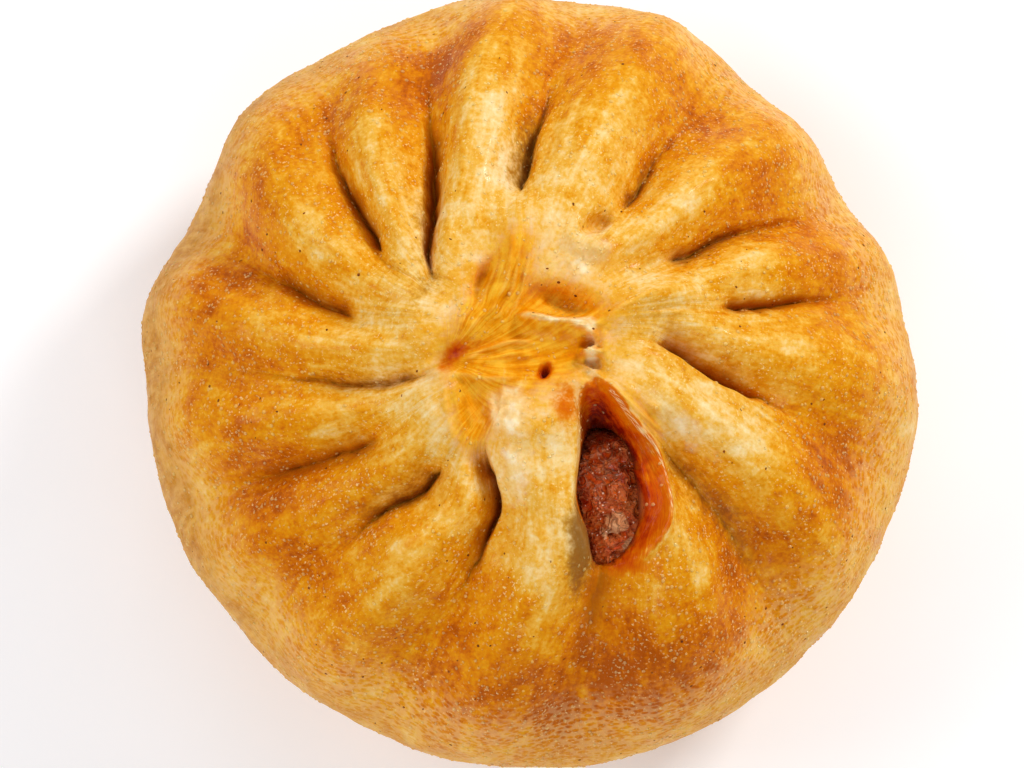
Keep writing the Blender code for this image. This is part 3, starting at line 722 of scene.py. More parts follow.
def makeDoughSkin():
    _, _, arcTable, ringArc, footArc = profile
    share = np.linspace(0.0, 1.0, body["domeRows"] + 1)[1:]
    dome = ringArc * (share * (1 - body["rowCrowding"]) + share**2 * body["rowCrowding"])
    flank = np.linspace(ringArc, footArc, body["flankRows"] + 1)[1:]
    foot = np.linspace(footArc, arcTable[-1], body["footRows"] + 1)[1:-1]
    arcs = np.concatenate([dome, flank, foot])
    columns = body["columns"]
    bearing = gridBearings(arcs)
    arc = np.repeat(arcs[:, None], columns, axis=1)
    arc = np.concatenate([[0.0], arc.ravel(), [arcTable[-1]]])
    bearing = np.concatenate([[0.0], bearing.ravel(), [0.0]])
    points, ways, masks = skinPoints(arc, bearing)

    middle = (points[:, :2].min(0) + points[:, :2].max(0)) / 2
    shift = np.array([-middle[0], -middle[1], 0.0])  # brings the middle of the plan to the origin
    points += shift
    # the grid's own columns follow the pleats, so fibres and streaks drawn along them do too
    turn = np.tile(np.arange(columns) * 2 * math.pi / columns, len(arcs))
    turn = np.concatenate([[0.0], turn, [0.0]])
    across, along = fibreFlow["across"], fibreFlow["along"]
    masks["flow"] = np.stack([np.cos(turn) * across, np.sin(turn) * across, arc * along], axis=-1)
    fade = eased(points[:, 2], 0.0, floorFade)
    height = layeredNoise(points, lumps, 0)
    for mask, (size, depth), seed in (("crown", crownLumps, 45), ("cream", creamLumps, 47)):
        height += masks[mask] * depth * noiseOver(points, size, seed)
    height += masks["crown"] * layeredNoise(masks["pull"], pulled, 70)
    near = eased(arc, *fibreReach["starts"])
    near = near * (1.0 - fibreReach["fade"] * eased(arc, *fibreReach["fades"]))
    height += near * layeredNoise(masks["flow"], fibres, 50)
    film = np.zeros(len(points))
    for seed, (size, depth) in enumerate(veins):
        ridge = 1.0 - veinShape["sharpness"] * np.abs(noiseOver(points, size, 60 + seed))
        ridge = np.clip(ridge, 0.0, 1.0) ** 2
        film = np.maximum(film, ridge)
        height += depth * (ridge - veinShape["level"]) * masks["torn"]
    masks["film"] = film * masks["torn"]
    points += ways * (height * fade)[:, None]
    under = arc > footArc
    dimples = footDimples["depth"] * (0.5 + 0.5 * noiseOver(points, footDimples["size"], 9))
    dimples = np.clip(dimples, 0.0, None) * eased(arc, footArc, footArc + footDimples["fade"])
    points[:, 2] += np.where(under, dimples, 0.0)

    skin = meshPiece("bunDough", points, closedFaces(len(arcs), columns))
    masks["outer"] = np.ones(len(points))
    for name, values in masks.items():
        writeMask(skin.data, name, values)
    return skin, shift


# Pork filling: a ball of meat under the crown, with a ridge that rises into the open pleat
meat = dict(
    centre=(1.5, -3.0, 18.5),
    radii=(25.0, 24.0, 14.0),
    ridge=((7.0, -12.0, 35.4), (9.3, -20.6, 34.4)),
    ridgeRadius=4.4,
    blend=3.0,
    gap=0.3,
    reach=(6.0, 45.0),
    columns=240,
    rows=170,
    roomColumns=96,
    roomRows=72,
    poleCrowding=1.9,
    wrinkles=((2.4, 0.7), (1.3, 0.6), (0.7, 0.34)),
    film=(5.4, -12.2, 38.6),
    filmRadius=3.4,
)

# Surface of the meat: how far from the pole it shows, in degrees, its furrows, its bits of fat
# with a ragged edge, and the beads of glaze on it
meatSkin = dict(
    shown=(62, 38),
    furrowLevel=0.45,
    furrowSlope=1.6,
    hiddenShares=(0.3, 0.7),
    hiddenDrop=0.6,
    fatRagged=(0.7, 0.3),
    fatSmooth=0.7,
    fatRise=0.35,
    fatEdge=(0.05, 0.6),
    beads=(0.5, 1.2),
    beadClumps=1.8,
    beadsOffFat=0.6,
)
fatBits = (
    dict(place=(8.2, -18.3, 39.2), radius=1.25),
    dict(place=(9.8, -20.4, 38.5), radius=0.9),
    dict(place=(7.0, -19.2, 38.9), radius=0.6),
)


def meatField(points):
    # negative inside the ball and the ridge, blended
    centre, radii = np.array(meat["centre"]), np.array(meat["radii"])
    ball = (np.linalg.norm((points - centre) / radii, axis=-1) - 1.0) * radii.min()
    a, b = (np.array(end) for end in meat["ridge"])
    share = np.clip(((points - a) @ (b - a)) / ((b - a) @ (b - a)), 0.0, 1.0)
    ridge = np.linalg.norm(points - a - share[..., None] * (b - a), axis=-1) - meat["ridgeRadius"]
    blend = np.clip(meat["blend"] - np.abs(ball - ridge), 0.0, None) / meat["blend"]
    return np.minimum(ball, ridge) - blend**2 * meat["blend"] / 4.0


def fillingSkin(grow, columns, rows, halvings=22):
    # how far each direction reaches from the ball's middle; the pole points at the ridge
    centre = np.array(meat["centre"])
    a, b = (np.array(end) for end in meat["ridge"])
    pole = (a + b) / 2 - centre
    pole /= np.linalg.norm(pole)
    side = np.cross(pole, (0.0, 1.0, 0.0))
    side /= np.linalg.norm(side)
    third = np.cross(pole, side)
    lean = math.pi * np.linspace(0.0, 1.0, rows + 1)[1:-1] ** meat["poleCrowding"]
    lean, turn = np.meshgrid(lean, np.arange(columns) * 2 * math.pi / columns, indexing="ij")
    ways = np.cos(lean)[..., None] * pole + (np.sin(lean) * np.cos(turn))[..., None] * side
    ways = ways + (np.sin(lean) * np.sin(turn))[..., None] * third
    ways = np.concatenate([[pole], ways.reshape(-1, 3), [-pole]])
    inside, outside = (np.full(len(ways), reach) for reach in meat["reach"])
    for _ in range(halvings):
        middle = (inside + outside) / 2
        out = meatField(centre + ways * middle[:, None]) > grow
        inside, outside = np.where(out, inside, middle), np.where(out, middle, outside)
    return centre + ways * inside[:, None], closedFaces(rows - 1, columns), ways


def makeFilling(shift):
    vertices, faces, ways = fillingSkin(0.0, meat["columns"], meat["rows"])
    skin = meatSkin
    shown = eased(ways @ ways[0], *(math.cos(math.radians(lean)) for lean in skin["shown"]))
    share = skin["hiddenShares"][0] + skin["hiddenShares"][1] * shown
    rough = np.zeros(len(vertices))
    for seed, (size, depth) in enumerate(meat["wrinkles"]):
        # sharp furrows between rounded lumps
        furrow = np.abs(noiseOver(vertices, size, seed + 20))
        wave = skin["furrowLevel"] - skin["furrowSlope"] * furrow
        rough += depth * (wave * share - skin["hiddenDrop"] * (1.0 - shown))
    fat = np.zeros(len(vertices))
    size, depth = skin["fatRagged"]
    ragged = depth * noiseOver(vertices, size, 28)
    for bit in fatBits:
        gap = np.linalg.norm(vertices - np.array(bit["place"]), axis=-1) / bit["radius"] + ragged
        mound = np.sqrt(np.clip(1.0 - gap**2, 0.0, 1.0))
        rough = rough * (1.0 - skin["fatSmooth"] * mound) + skin["fatRise"] * bit["radius"] * mound
        fat = np.maximum(fat, eased(mound, *skin["fatEdge"]))
    piece = meshPiece("porkFilling", vertices + ways * rough[:, None] + shift, faces)
    gap = np.linalg.norm(vertices - np.array(meat["film"]), axis=-1) / meat["filmRadius"]
    film = np.exp(-(gap**4))
    few, more = skin["beads"]
    beaded = shown * (few + more * noiseOver(vertices, skin["beadClumps"], 29))
    beaded = np.clip(beaded * (1.0 - skin["beadsOffFat"] * fat), 0.0, 1.0)
    for name, values in (("fat", fat), ("film", film), ("beaded", beaded)):
        writeMask(piece.data, name, values)
    return piece


# A vertex whose mask "outer" is above this lies on the skin, and not in the room cut into it
uncut = 0.99


def hollowOut(skin, shift):
    # the room of the filling, cut out of the dough
    vertices, faces, _ = fillingSkin(meat["gap"], meat["roomColumns"], meat["roomRows"])
    room = meshPiece("fillingRoom", vertices + shift, faces)
    cut = skin.modifiers.new("filling's room", "BOOLEAN")
    cut.operation = "DIFFERENCE"
    cut.solver = "MANIFOLD"
    cut.object = room
    settleModifiers(skin)
    bpy.data.objects.remove(room)
    # the cut faces take the sauce of the skin beside them, and fade into plain crumb
    mesh = skin.data
    outer, sauce = readMask(mesh, "outer"), readMask(mesh, "sauce")
    tree = KDTree(len(outer))
    stained = 0.3
    for number in np.flatnonzero((outer > uncut) & (sauce > stained)):
        tree.insert(mesh.vertices[number].co, number)
    tree.balance()
    saucy, sauceReach, skinReach = 0.62, 5.0 * mm, 4.0 * mm
    for number in np.flatnonzero(outer <= uncut):
        gap = tree.find(mesh.vertices[number].co)[2]
        sauce[number] = saucy * math.exp(-((gap / sauceReach) ** 2))
        outer[number] = math.exp(-((gap / skinReach) ** 2))
    writeMask(mesh, "sauce", sauce)
    writeMask(mesh, "outer", outer)


# Shader nodes

def feed(tree, socket, value):
    if isinstance(value, bpy.types.NodeSocket):
        tree.links.new(value, socket)
    else:
        socket.default_value = value


def calc(tree, operation, *values, clamp=False):
    node = tree.nodes.new("ShaderNodeMath")
    node.operation = operation
    node.use_clamp = clamp
    for socket, value in zip(node.inputs, values):
        feed(tree, socket, value)
    return node.outputs[0]


def times(tree, first, *others):
    for value in others:
        first = calc(tree, "MULTIPLY", first, value)
    return first


def plus(tree, first, *others):
    for value in others:
        first = calc(tree, "ADD", first, value)
    return first


def blended(tree, first, second, share):
    # weighted sum of two patterns
    return plus(tree, times(tree, first, share), times(tree, second, 1.0 - share))


def mixed(tree, factor, first, second):
    node = tree.nodes.new("ShaderNodeMix")
    node.data_type = "RGBA"
    for number, value in ((0, factor), (6, first), (7, second)):
        feed(tree, node.inputs[number], value)
    return node.outputs[2]


def ramp(tree, value, stops):
    node = tree.nodes.new("ShaderNodeValToRGB")
    parts = node.color_ramp.elements
    while len(parts) < len(stops):
        parts.new(0.5)
    for part, (place, colour) in zip(parts, stops):
        part.position = place
        part.color = toneOf(*colour)
    feed(tree, node.inputs[0], value)
    return node.outputs[0]


def band(tree, value, low, high):
    node = tree.nodes.new("ShaderNodeMapRange")
    node.interpolation_type = "SMOOTHSTEP"
    for name, number in (("From Min", low), ("From Max", high)):
        node.inputs[name].default_value = number
    feed(tree, node.inputs["Value"], value)
    return node.outputs[0]


def grainOf(tree, vector, size, detail=3.0, bend=0.0):
    node = tree.nodes.new("ShaderNodeTexNoise")
    node.inputs["Scale"].default_value = 1.0 / size
    node.inputs["Detail"].default_value = detail
    node.inputs["Roughness"].default_value = 0.55
    node.inputs["Distortion"].default_value = bend
    feed(tree, node.inputs["Vector"], vector)
    return node.outputs[0]


def cellsOf(tree, vector, size):
    node = tree.nodes.new("ShaderNodeTexVoronoi")
    node.inputs["Scale"].default_value = 1.0 / size
    feed(tree, node.inputs["Vector"], vector)
    return node.outputs["Distance"]


def maskOf(tree, name, vector=False):
    node = tree.nodes.new("ShaderNodeAttribute")
    node.attribute_name = name
    return node.outputs["Vector" if vector else "Fac"]


def startGroup(name, inputs, outputs):
    tree = bpy.data.node_groups.new(name, "ShaderNodeTree")
    for label, kind in inputs:
        tree.interface.new_socket(label, in_out="INPUT", socket_type=kind)
    for label, kind in outputs:
        tree.interface.new_socket(label, in_out="OUTPUT", socket_type=kind)
    start, end = tree.nodes.new("NodeGroupInput"), tree.nodes.new("NodeGroupOutput")
    return tree, start.outputs, end.inputs


def useGroup(tree, group, **values):
    node = tree.nodes.new("ShaderNodeGroup")
    node.node_tree = group
    for label, value in values.items():
        feed(tree, node.inputs[label], value)
    return node.outputs


def startMaterial(name):
    material = bpy.data.materials.new(name)
    material.use_nodes = True
    tree = material.node_tree
    shader = next(node for node in tree.nodes if node.type == "BSDF_PRINCIPLED")
    place = tree.nodes.new("ShaderNodeTexCoord").outputs["Object"]
    return material, tree, shader, place


def bumpOn(tree, height, distance):
    node = tree.nodes.new("ShaderNodeBump")
    node.inputs["Distance"].default_value = distance
    feed(tree, node.inputs["Height"], height)
    return node.outputs[0]


def makeOilGroup():
    # patches of frying oil or glaze: where they lie, and how smooth they make the surface
    tree, given, result = startGroup(
        "oilPatches",
        [("Place", "NodeSocketVector"), ("Cover", "NodeSocketFloat")],
        [("Mask", "NodeSocketFloat"), ("Roughness", "NodeSocketFloat")],
    )
    wide = grainOf(tree, given["Place"], 5.0 * mm, 2.0)
    fine = grainOf(tree, given["Place"], 0.9 * mm, 2.0)
    mask = band(tree, blended(tree, wide, fine, 0.65), 0.44, 0.62)
    mask = calc(tree, "MULTIPLY", mask, given["Cover"], clamp=True)
    feed(tree, result["Mask"], mask)
    rough = calc(tree, "MULTIPLY_ADD", fine, 0.3, 0.36)
    feed(tree, result["Roughness"], calc(tree, "MULTIPLY_ADD", mask, -0.14, rough))
    return tree


# Colours of the fried skin as they look in soft white light
crust = dict(
    toast=(
        (0.0, (246, 222, 168)),
        (0.2, (241, 202, 126)),
        (0.36, (235, 178, 66)),
        (0.54, (226, 150, 14)),
        (0.7, (216, 128, 4)),
        (0.85, (200, 104, 2)),
        (1.0, (176, 82, 2)),
    ),
    side=((0.3, (160, 88, 14)), (0.45, (192, 128, 46)), (0.6, (212, 160, 82))),
    thin=((0.3, (208, 114, 0)), (0.46, (230, 146, 4)), (0.62, (246, 188, 50))),
    sauce=(
        (0.0, (232, 146, 6)),
        (0.3, (214, 106, 0)),
        (0.5, (202, 78, 0)),
        (0.75, (174, 46, 0)),
        (1.0, (132, 20, 2)),
    ),
    cream=((0.3, (232, 182, 96)), (0.5, (248, 214, 150)), (0.65, (254, 238, 200))),
    # painted shade inside the creases, in a warm orange-brown
    warm=(186, 98, 6),
    # painted shade in the creases and hollows, in a gray-olive
    damp=(138, 86, 32),
    # the raised strands drawn lighter: partly their own paler tone, partly a painted highlight along them
    strand=(250, 190, 84),
    # painted glint along the lip's crest
    glint=(255, 226, 170),
    wetFilm=(214, 160, 138),
    # painted glints: fine pale flecks over the skin
    fleck=(252, 226, 158),
    pit=(178, 86, 14),
    net=(242, 200, 138),
    foot=((0.3, (132, 70, 20)), (0.5, (186, 112, 38)), (0.7, (214, 150, 72))),
    crumb=(232, 208, 160),
    # the blisters are drawn paler than the skin round them: a painted highlight on each
    blister=(252, 224, 150),
)


def makeCrustGroup():
    # colour and unevenness of the fried skin, read from the masks on the mesh
    tree, given, result = startGroup(
        "friedCrust",
        [("Place", "NodeSocketVector")],
        [("Color", "NodeSocketColor"), ("Height", "NodeSocketFloat"), ("Wet", "NodeSocketFloat")],
    )
    place = given["Place"]
    flow, fan = maskOf(tree, "flow", vector=True), maskOf(tree, "pull", vector=True)
    patch = grainOf(tree, place, 4.2 * mm, 2.0, bend=0.4)
    mottle = grainOf(tree, place, 1.5 * mm)
    fine = grainOf(tree, place, 0.45 * mm, 2.0)
    crown = maskOf(tree, "crown")  # near the hub the fibres fan out instead
    marble = mixed(tree, crown, grainOf(tree, flow, 1.1, 2.0, bend=0.7), patch)
    streak = mixed(tree, crown, grainOf(tree, flow, 0.42), grainOf(tree, fan, 0.5))
    hair = mixed(tree, crown, grainOf(tree, flow, 0.16, 2.0), fine)
    squashed = tree.nodes.new("ShaderNodeVectorMath")
    squashed.operation = "MULTIPLY"
    feed(tree, squashed.inputs[0], place)
    squashed.inputs[1].default_value = (1.0, 1.0, 2.0)
    pocks = cellsOf(tree, squashed.outputs[0], 0.8 * mm)
    # painted glints: where a fine grain is high, the skin gets pale flecks
    glintGrain = band(tree, grainOf(tree, place, 0.3 * mm, 1.0), 0.6, 0.74)

    def swing(value, amount):
        # a pattern that swings about zero
        return calc(tree, "MULTIPLY_ADD", value, amount, -amount / 2)

    def varied(mask, pattern, low, high):
        # a mask whose border follows a pattern
        return band(tree, plus(tree, mask, pattern), low, high)

    toast, rim, side, thin, sauce, strand, film = (
        maskOf(tree, name) for name in ("toast", "rim", "side", "thin", "sauce", "strand", "film")
    )
    for value, amount in ((patch, 0.65), (mottle, 0.5), (fine, 0.5), (marble, 0.52), (streak, 0.36)):
        toast = plus(tree, toast, swing(value, amount))
    blotchy = calc(tree, "MULTIPLY_ADD", swing(patch, 1.4), side, side)
    tan = times(tree, band(tree, blotchy, 0.0, 0.9), 0.85)
    # where the painted glint along the lip's crest lies
    crestGlint = band(tree, maskOf(tree, "glint"), 0.7, 0.95)
    unevenGrayShade = plus(tree, swing(mottle, 0.9), swing(fine, 0.6))
    milky = calc(tree, "MAXIMUM", maskOf(tree, "cream"), times(tree, film, 0.6))
    milk = times(tree, varied(milky, swing(mottle, 0.8), 0.15, 0.8), 0.85)
    blotch = plus(tree, swing(hair, 1.5), swing(mottle, 2.2))
    stain = calc(tree, "MULTIPLY_ADD", blotch, sauce, sauce)

    # the coats of colour from the lowest to the uppermost: (share, colour)
    coats = (
        (times(tree, band(tree, pocks, 0.35, 0.65), rim, 0.4), "net"),
        (times(tree, band(tree, pocks, 0.24, 0.06), band(tree, mottle, 0.44, 0.62), rim, 0.65), "pit"),
        # painted glints as pale flecks, more of them in some patches
        (times(tree, glintGrain, band(tree, patch, 0.3, 0.75), 0.7), "fleck"),
        (tan, ramp(tree, blended(tree, streak, mottle, 0.6), crust["side"])),
        (band(tree, thin, 0.0, 0.75), ramp(tree, blended(tree, streak, mottle, 0.5), crust["thin"])),
        # the raised strands drawn lighter, partly as a painted highlight along them
        (times(tree, band(tree, strand, 0.4, 1.2), streak, 1.2), "strand"),
        # painted shade inside the creases, warm orange-brown
        (times(tree, varied(maskOf(tree, "warm"), swing(mottle, 0.5), 0.08, 0.9), 0.9), "warm"),
        # painted gray shade in the creases and hollows, mottled
        (times(tree, varied(maskOf(tree, "damp"), unevenGrayShade, 0.1, 1.0), 0.88), "damp"),
        (milk, ramp(tree, mottle, crust["cream"])),
        (band(tree, stain, 0.04, 0.26), ramp(tree, stain, crust["sauce"])),
        (times(tree, film, band(tree, sauce, 0.4, 0.7), 0.5), "wetFilm"),
        # painted glint: pale dashes along the lip's crest
        (times(tree, crestGlint, band(tree, hair, 0.46, 0.6), 0.8), "glint"),
        (maskOf(tree, "foot"), ramp(tree, blended(tree, patch, mottle, 0.6), crust["foot"])),
    )
    colour = ramp(tree, toast, crust["toast"])
    for share, tone in coats:
        if isinstance(tone, str):
            tone = toneOf(*crust[tone])
        colour = mixed(tree, share, colour, tone)
    colour = mixed(tree, maskOf(tree, "outer"), toneOf(*crust["crumb"]), colour)
    feed(tree, result["Color"], colour)

    height = times(tree, mottle, 0.9)
    for value, amount in ((fine, 0.5), (streak, 0.7), (hair, 0.35)):
        height = calc(tree, "MULTIPLY_ADD", value, amount, height)
    feed(tree, result["Height"], height)
    wet = calc(tree, "MAXIMUM", times(tree, stain, 0.5), times(tree, thin, 0.15), clamp=True)
    feed(tree, result["Wet"], wet)
    return tree


def makeDoughMaterial(name, crustGroup, oilGroup, cover, shine, paintedGlint=0.0):
    material, tree, shader, place = startMaterial(name)
    skin = useGroup(tree, crustGroup, Place=place)
    oil = useGroup(tree, oilGroup, Place=place, Cover=cover)
    colour = skin["Color"]
    # painted highlight: the colour is drawn paler towards a pale cream
    if paintedGlint:
        colour = mixed(tree, paintedGlint, colour, toneOf(*crust["blister"]))
    feed(tree, shader.inputs["Base Color"], colour)
    feed(tree, shader.inputs["Roughness"], oil["Roughness"])
    coat = calc(tree, "MAXIMUM", oil["Mask"], skin["Wet"])
    feed(tree, shader.inputs["Coat Weight"], calc(tree, "MULTIPLY", coat, shine))
    shader.inputs["Coat Roughness"].default_value = 0.08
    shader.inputs["Specular IOR Level"].default_value = 0.03
    shader.inputs["Subsurface Weight"].default_value = 0.12
    shader.inputs["Subsurface Radius"].default_value = (1.0, 0.5, 0.2)
    shader.inputs["Subsurface Scale"].default_value = 1.6 * mm
    feed(tree, shader.inputs["Normal"], bumpOn(tree, skin["Height"], 0.14 * mm))
    return material


# Glazed pork: lean meat with fine curled ridges, bits of fat, and a milky film at one end
pork = dict(
    # painted highlight along the curled ridges of the meat
    curl=(232, 136, 78),
    film=(200, 134, 106),
    lean=((0.28, (128, 20, 0)), (0.42, (188, 58, 0)), (0.56, (210, 88, 14)), (0.7, (226, 134, 72))),
    fat=((0.3, (178, 98, 50)), (0.6, (222, 160, 112))),
)


def makePorkMaterial(oilGroup):
    material, tree, shader, place = startMaterial("glazedPork")
    coarse = grainOf(tree, place, 2.2 * mm, 4.0, bend=0.6)
    fine = grainOf(tree, place, 0.5 * mm)
    tone = blended(tree, coarse, fine, 0.65)
    colour = mixed(tree, maskOf(tree, "fat"), ramp(tree, tone, pork["lean"]), ramp(tree, tone, pork["fat"]))

    def ridged(pattern, steepness, level):
        # thin ridges along the lines where a pattern has a certain level
        slope = calc(tree, "ABSOLUTE", calc(tree, "MULTIPLY_ADD", pattern, steepness, -steepness * level))
        return calc(tree, "SUBTRACT", 1.0, slope, clamp=True)

    curl = ridged(grainOf(tree, place, 1.4 * mm, 1.5, bend=1.2), 7.0, 0.5)
    rings = times(tree, ridged(cellsOf(tree, place, 1.7 * mm), 8.0, 0.325), band(tree, coarse, 0.45, 0.6))
    curl = calc(tree, "MAXIMUM", curl, rings)
    # painted highlight: the curled ridges are drawn lighter
    colour = mixed(tree, times(tree, curl, fine, 0.9), colour, toneOf(*pork["curl"]))
    milky = times(tree, maskOf(tree, "film"), band(tree, curl, 0.5, 1.0), 0.6)
    colour = mixed(tree, milky, colour, toneOf(*pork["film"]))
    oil = useGroup(tree, oilGroup, Place=place, Cover=1.0)
    feed(tree, shader.inputs["Base Color"], colour)
    feed(tree, shader.inputs["Roughness"], oil["Roughness"])
    feed(tree, shader.inputs["Coat Weight"], calc(tree, "MULTIPLY_ADD", oil["Mask"], 0.4, 0.15, clamp=True))
    shader.inputs["Specular IOR Level"].default_value = 0.1
    shader.inputs["Coat Roughness"].default_value = 0.07
    shader.inputs["Subsurface Weight"].default_value = 0.08
    shader.inputs["Subsurface Radius"].default_value = (1.0, 0.4, 0.2)
    shader.inputs["Subsurface Scale"].default_value = 1.2 * mm
    height = plus(tree, coarse, times(tree, curl, 0.6), times(tree, fine, 0.5))
    feed(tree, shader.inputs["Normal"], bumpOn(tree, height, 0.7 * mm))
    return material


def makeDropMaterial():
    material, tree, shader, place = startMaterial("glazeDrop")
    stops = ((0.35, (190, 96, 54)), (0.5, (226, 152, 112)), (0.65, (252, 220, 196)))
    feed(tree, shader.inputs["Base Color"], ramp(tree, grainOf(tree, place, 0.5 * mm, 2.0), stops))
    shader.inputs["Roughness"].default_value = 0.25
    shader.inputs["Coat Weight"].default_value = 0.8
    shader.inputs["Coat Roughness"].default_value = 0.05
    return material


def makeSpeckMaterial():
    material, tree, shader, place = startMaterial("charredSpeck")
    tone = grainOf(tree, place, 0.3 * mm, 2.0)
    stops = ((0.3, (88, 38, 8)), (0.55, (134, 68, 14)), (0.75, (168, 94, 24)))
    feed(tree, shader.inputs["Base Color"], ramp(tree, tone, stops))
    feed(tree, shader.inputs["Roughness"], calc(tree, "MULTIPLY_ADD", tone, 0.4, 0.4))
    shader.inputs["Specular IOR Level"].default_value = 0.1
    return material


# Scatter of small domes and flakes over the skin

def makeScatterTree():
    tree = bpy.data.node_groups.new("scatterOnSkin", "GeometryNodeTree")
    tree.interface.new_socket("Geometry", in_out="INPUT", socket_type="NodeSocketGeometry")
    sockets = (
        ("Density", "NodeSocketFloat"), ("Spacing", "NodeSocketFloat"), ("Smallest", "NodeSocketFloat"),
        ("Largest", "NodeSocketFloat"), ("Flatness", "NodeSocketFloat"), ("Where", "NodeSocketString"),
        ("Seed", "NodeSocketInt"), ("Material", "NodeSocketMaterial"),
    )
    for label, kind in sockets:
        tree.interface.new_socket(label, in_out="INPUT", socket_type=kind)
    tree.interface.new_socket("Geometry", in_out="OUTPUT", socket_type="NodeSocketGeometry")
    node = tree.nodes.new
    given, result = node("NodeGroupInput").outputs, node("NodeGroupOutput").inputs
    where = node("GeometryNodeInputNamedAttribute")
    feed(tree, where.inputs["Name"], given["Where"])
    points = node("GeometryNodeDistributePointsOnFaces")
    points.distribute_method = "POISSON"
    feed(tree, points.inputs["Mesh"], given["Geometry"])
    feed(tree, points.inputs["Distance Min"], given["Spacing"])
    feed(tree, points.inputs["Density Max"], given["Density"])
    feed(tree, points.inputs["Density Factor"], where.outputs["Attribute"])
    feed(tree, points.inputs["Seed"], given["Seed"])
    sizes = []
    for shiftedSeed in (1, 2):
        size = node("FunctionNodeRandomValue")
        size.data_type = "FLOAT"
        feed(tree, size.inputs[2], given["Smallest"])
        feed(tree, size.inputs[3], given["Largest"])
        more = node("ShaderNodeMath")
        feed(tree, more.inputs[0], given["Seed"])
        more.inputs[1].default_value = shiftedSeed
        feed(tree, size.inputs["Seed"], more.outputs[0])
        sizes.append(size.outputs[1])
    thick = node("ShaderNodeMath")
    thick.operation = "MULTIPLY"
    feed(tree, thick.inputs[0], sizes[0])
    feed(tree, thick.inputs[1], given["Flatness"])
    scale = node("ShaderNodeCombineXYZ")
    for socket, value in zip(scale.inputs, (sizes[0], sizes[1], thick.outputs[0])):
        feed(tree, socket, value)
    dome = node("GeometryNodeMeshIcoSphere")
    dome.inputs["Radius"].default_value = 1.0
    dome.inputs["Subdivisions"].default_value = 1
    put = node("GeometryNodeInstanceOnPoints")
    feed(tree, put.inputs["Points"], points.outputs["Points"])
    feed(tree, put.inputs["Instance"], dome.outputs["Mesh"])
    feed(tree, put.inputs["Rotation"], points.outputs["Rotation"])
    feed(tree, put.inputs["Scale"], scale.outputs[0])
    real = node("GeometryNodeRealizeInstances")
    feed(tree, real.inputs[0], put.outputs[0])
    paint = node("GeometryNodeSetMaterial")
    feed(tree, paint.inputs["Geometry"], real.outputs[0])
    feed(tree, paint.inputs["Material"], given["Material"])
    feed(tree, result["Geometry"], paint.outputs[0])
    return tree


def scatter(name, host, tree, values):
    carrier = bpy.data.objects.new(name, host.data.copy())
    bpy.context.scene.collection.objects.link(carrier)
    work = carrier.modifiers.new("scatter", "NODES")
    work.node_group = tree
    labels = {item.name: item.identifier for item in tree.interface.items_tree if item.in_out == "INPUT"}
    for label, value in values.items():
        work[labels[label]] = value
    settleModifiers(carrier)
    carrier.data.name = name
    carrier.data.shade_smooth()
    return carrier


blisters = dict(density=1.3e6, spacing=0.32, smallest=0.06, largest=0.26, flatness=0.5, seed=7)
drops = dict(density=3.0e6, spacing=0.36, smallest=0.04, largest=0.17, flatness=0.6, seed=5)
specks = dict(density=9.0e4, spacing=1.4, smallest=0.05, largest=0.2, flatness=0.3, seed=11)


# Where they lie: the size and weight of the clumps, the heights above the floor over which they
# come in, and what the toast, the creases and the sauce change
strewn = dict(
    clumps=((5.0, 1.0), (1.6, 0.6)),
    heights=(3.0, 12.0),
    blisters=dict(plain=0.3, toasted=0.4, clumped=0.8),
    toasted=(0.3, 0.8),
    offCreases=0.7,
    offSauce=0.85,
    saucy=(0.1, 0.5),
    specks=dict(plain=0.35, clumped=0.8, clumps=9.0),
)


def addScatterMasks(skin):
    # blisters crowd on the toasted shoulders, in clumps, and leave the creases and the foot bare
    mesh = skin.data
    place = np.zeros(len(mesh.vertices) * 3, np.float32)
    mesh.vertices.foreach_get("co", place)
    place = place.reshape(-1, 3) / mm
    clumps = layeredNoise(place, strewn["clumps"], 31)
    toast, outer = readMask(mesh, "toast"), readMask(mesh, "outer") > uncut
    bare = np.clip(readMask(mesh, "warm") + readMask(mesh, "damp"), 0.0, 1.0) * strewn["offCreases"]
    above = eased(place[:, 2], *strewn["heights"])
    share = strewn["blisters"]
    bubbly = share["plain"] + share["toasted"] * eased(toast, *strewn["toasted"])
    bubbly = (bubbly + share["clumped"] * clumps) * (1.0 - bare) * above * outer
    bubbly *= 1.0 - strewn["offSauce"] * eased(readMask(mesh, "sauce"), *strewn["saucy"])
    share = strewn["specks"]
    charred = share["plain"] + share["clumped"] * noiseOver(place, share["clumps"], 33)
    charred = charred * above * outer
    for name, values in (("bubbly", bubbly), ("charred", charred)):
        writeMask(mesh, name, np.clip(values, 0.0, 1.0))


# Build the pieces

dough, shift = makeDoughSkin()
print("dough skin", len(dough.data.vertices))
hollowOut(dough, shift)
print("dough with its room", len(dough.data.polygons))
filling = makeFilling(shift)
print("filling", len(filling.data.polygons))

crustGroup, oilGroup = makeCrustGroup(), makeOilGroup()
doughMaterial = makeDoughMaterial("friedDough", crustGroup, oilGroup, 0.5, 0.3)
# the blisters' skin, drawn paler as a painted highlight
blisterMaterial = makeDoughMaterial("friedBlister", crustGroup, oilGroup, 1.6, 0.45, paintedGlint=0.28)
dough.data.materials.clear()
dough.data.materials.append(doughMaterial)
filling.data.materials.append(makePorkMaterial(oilGroup))

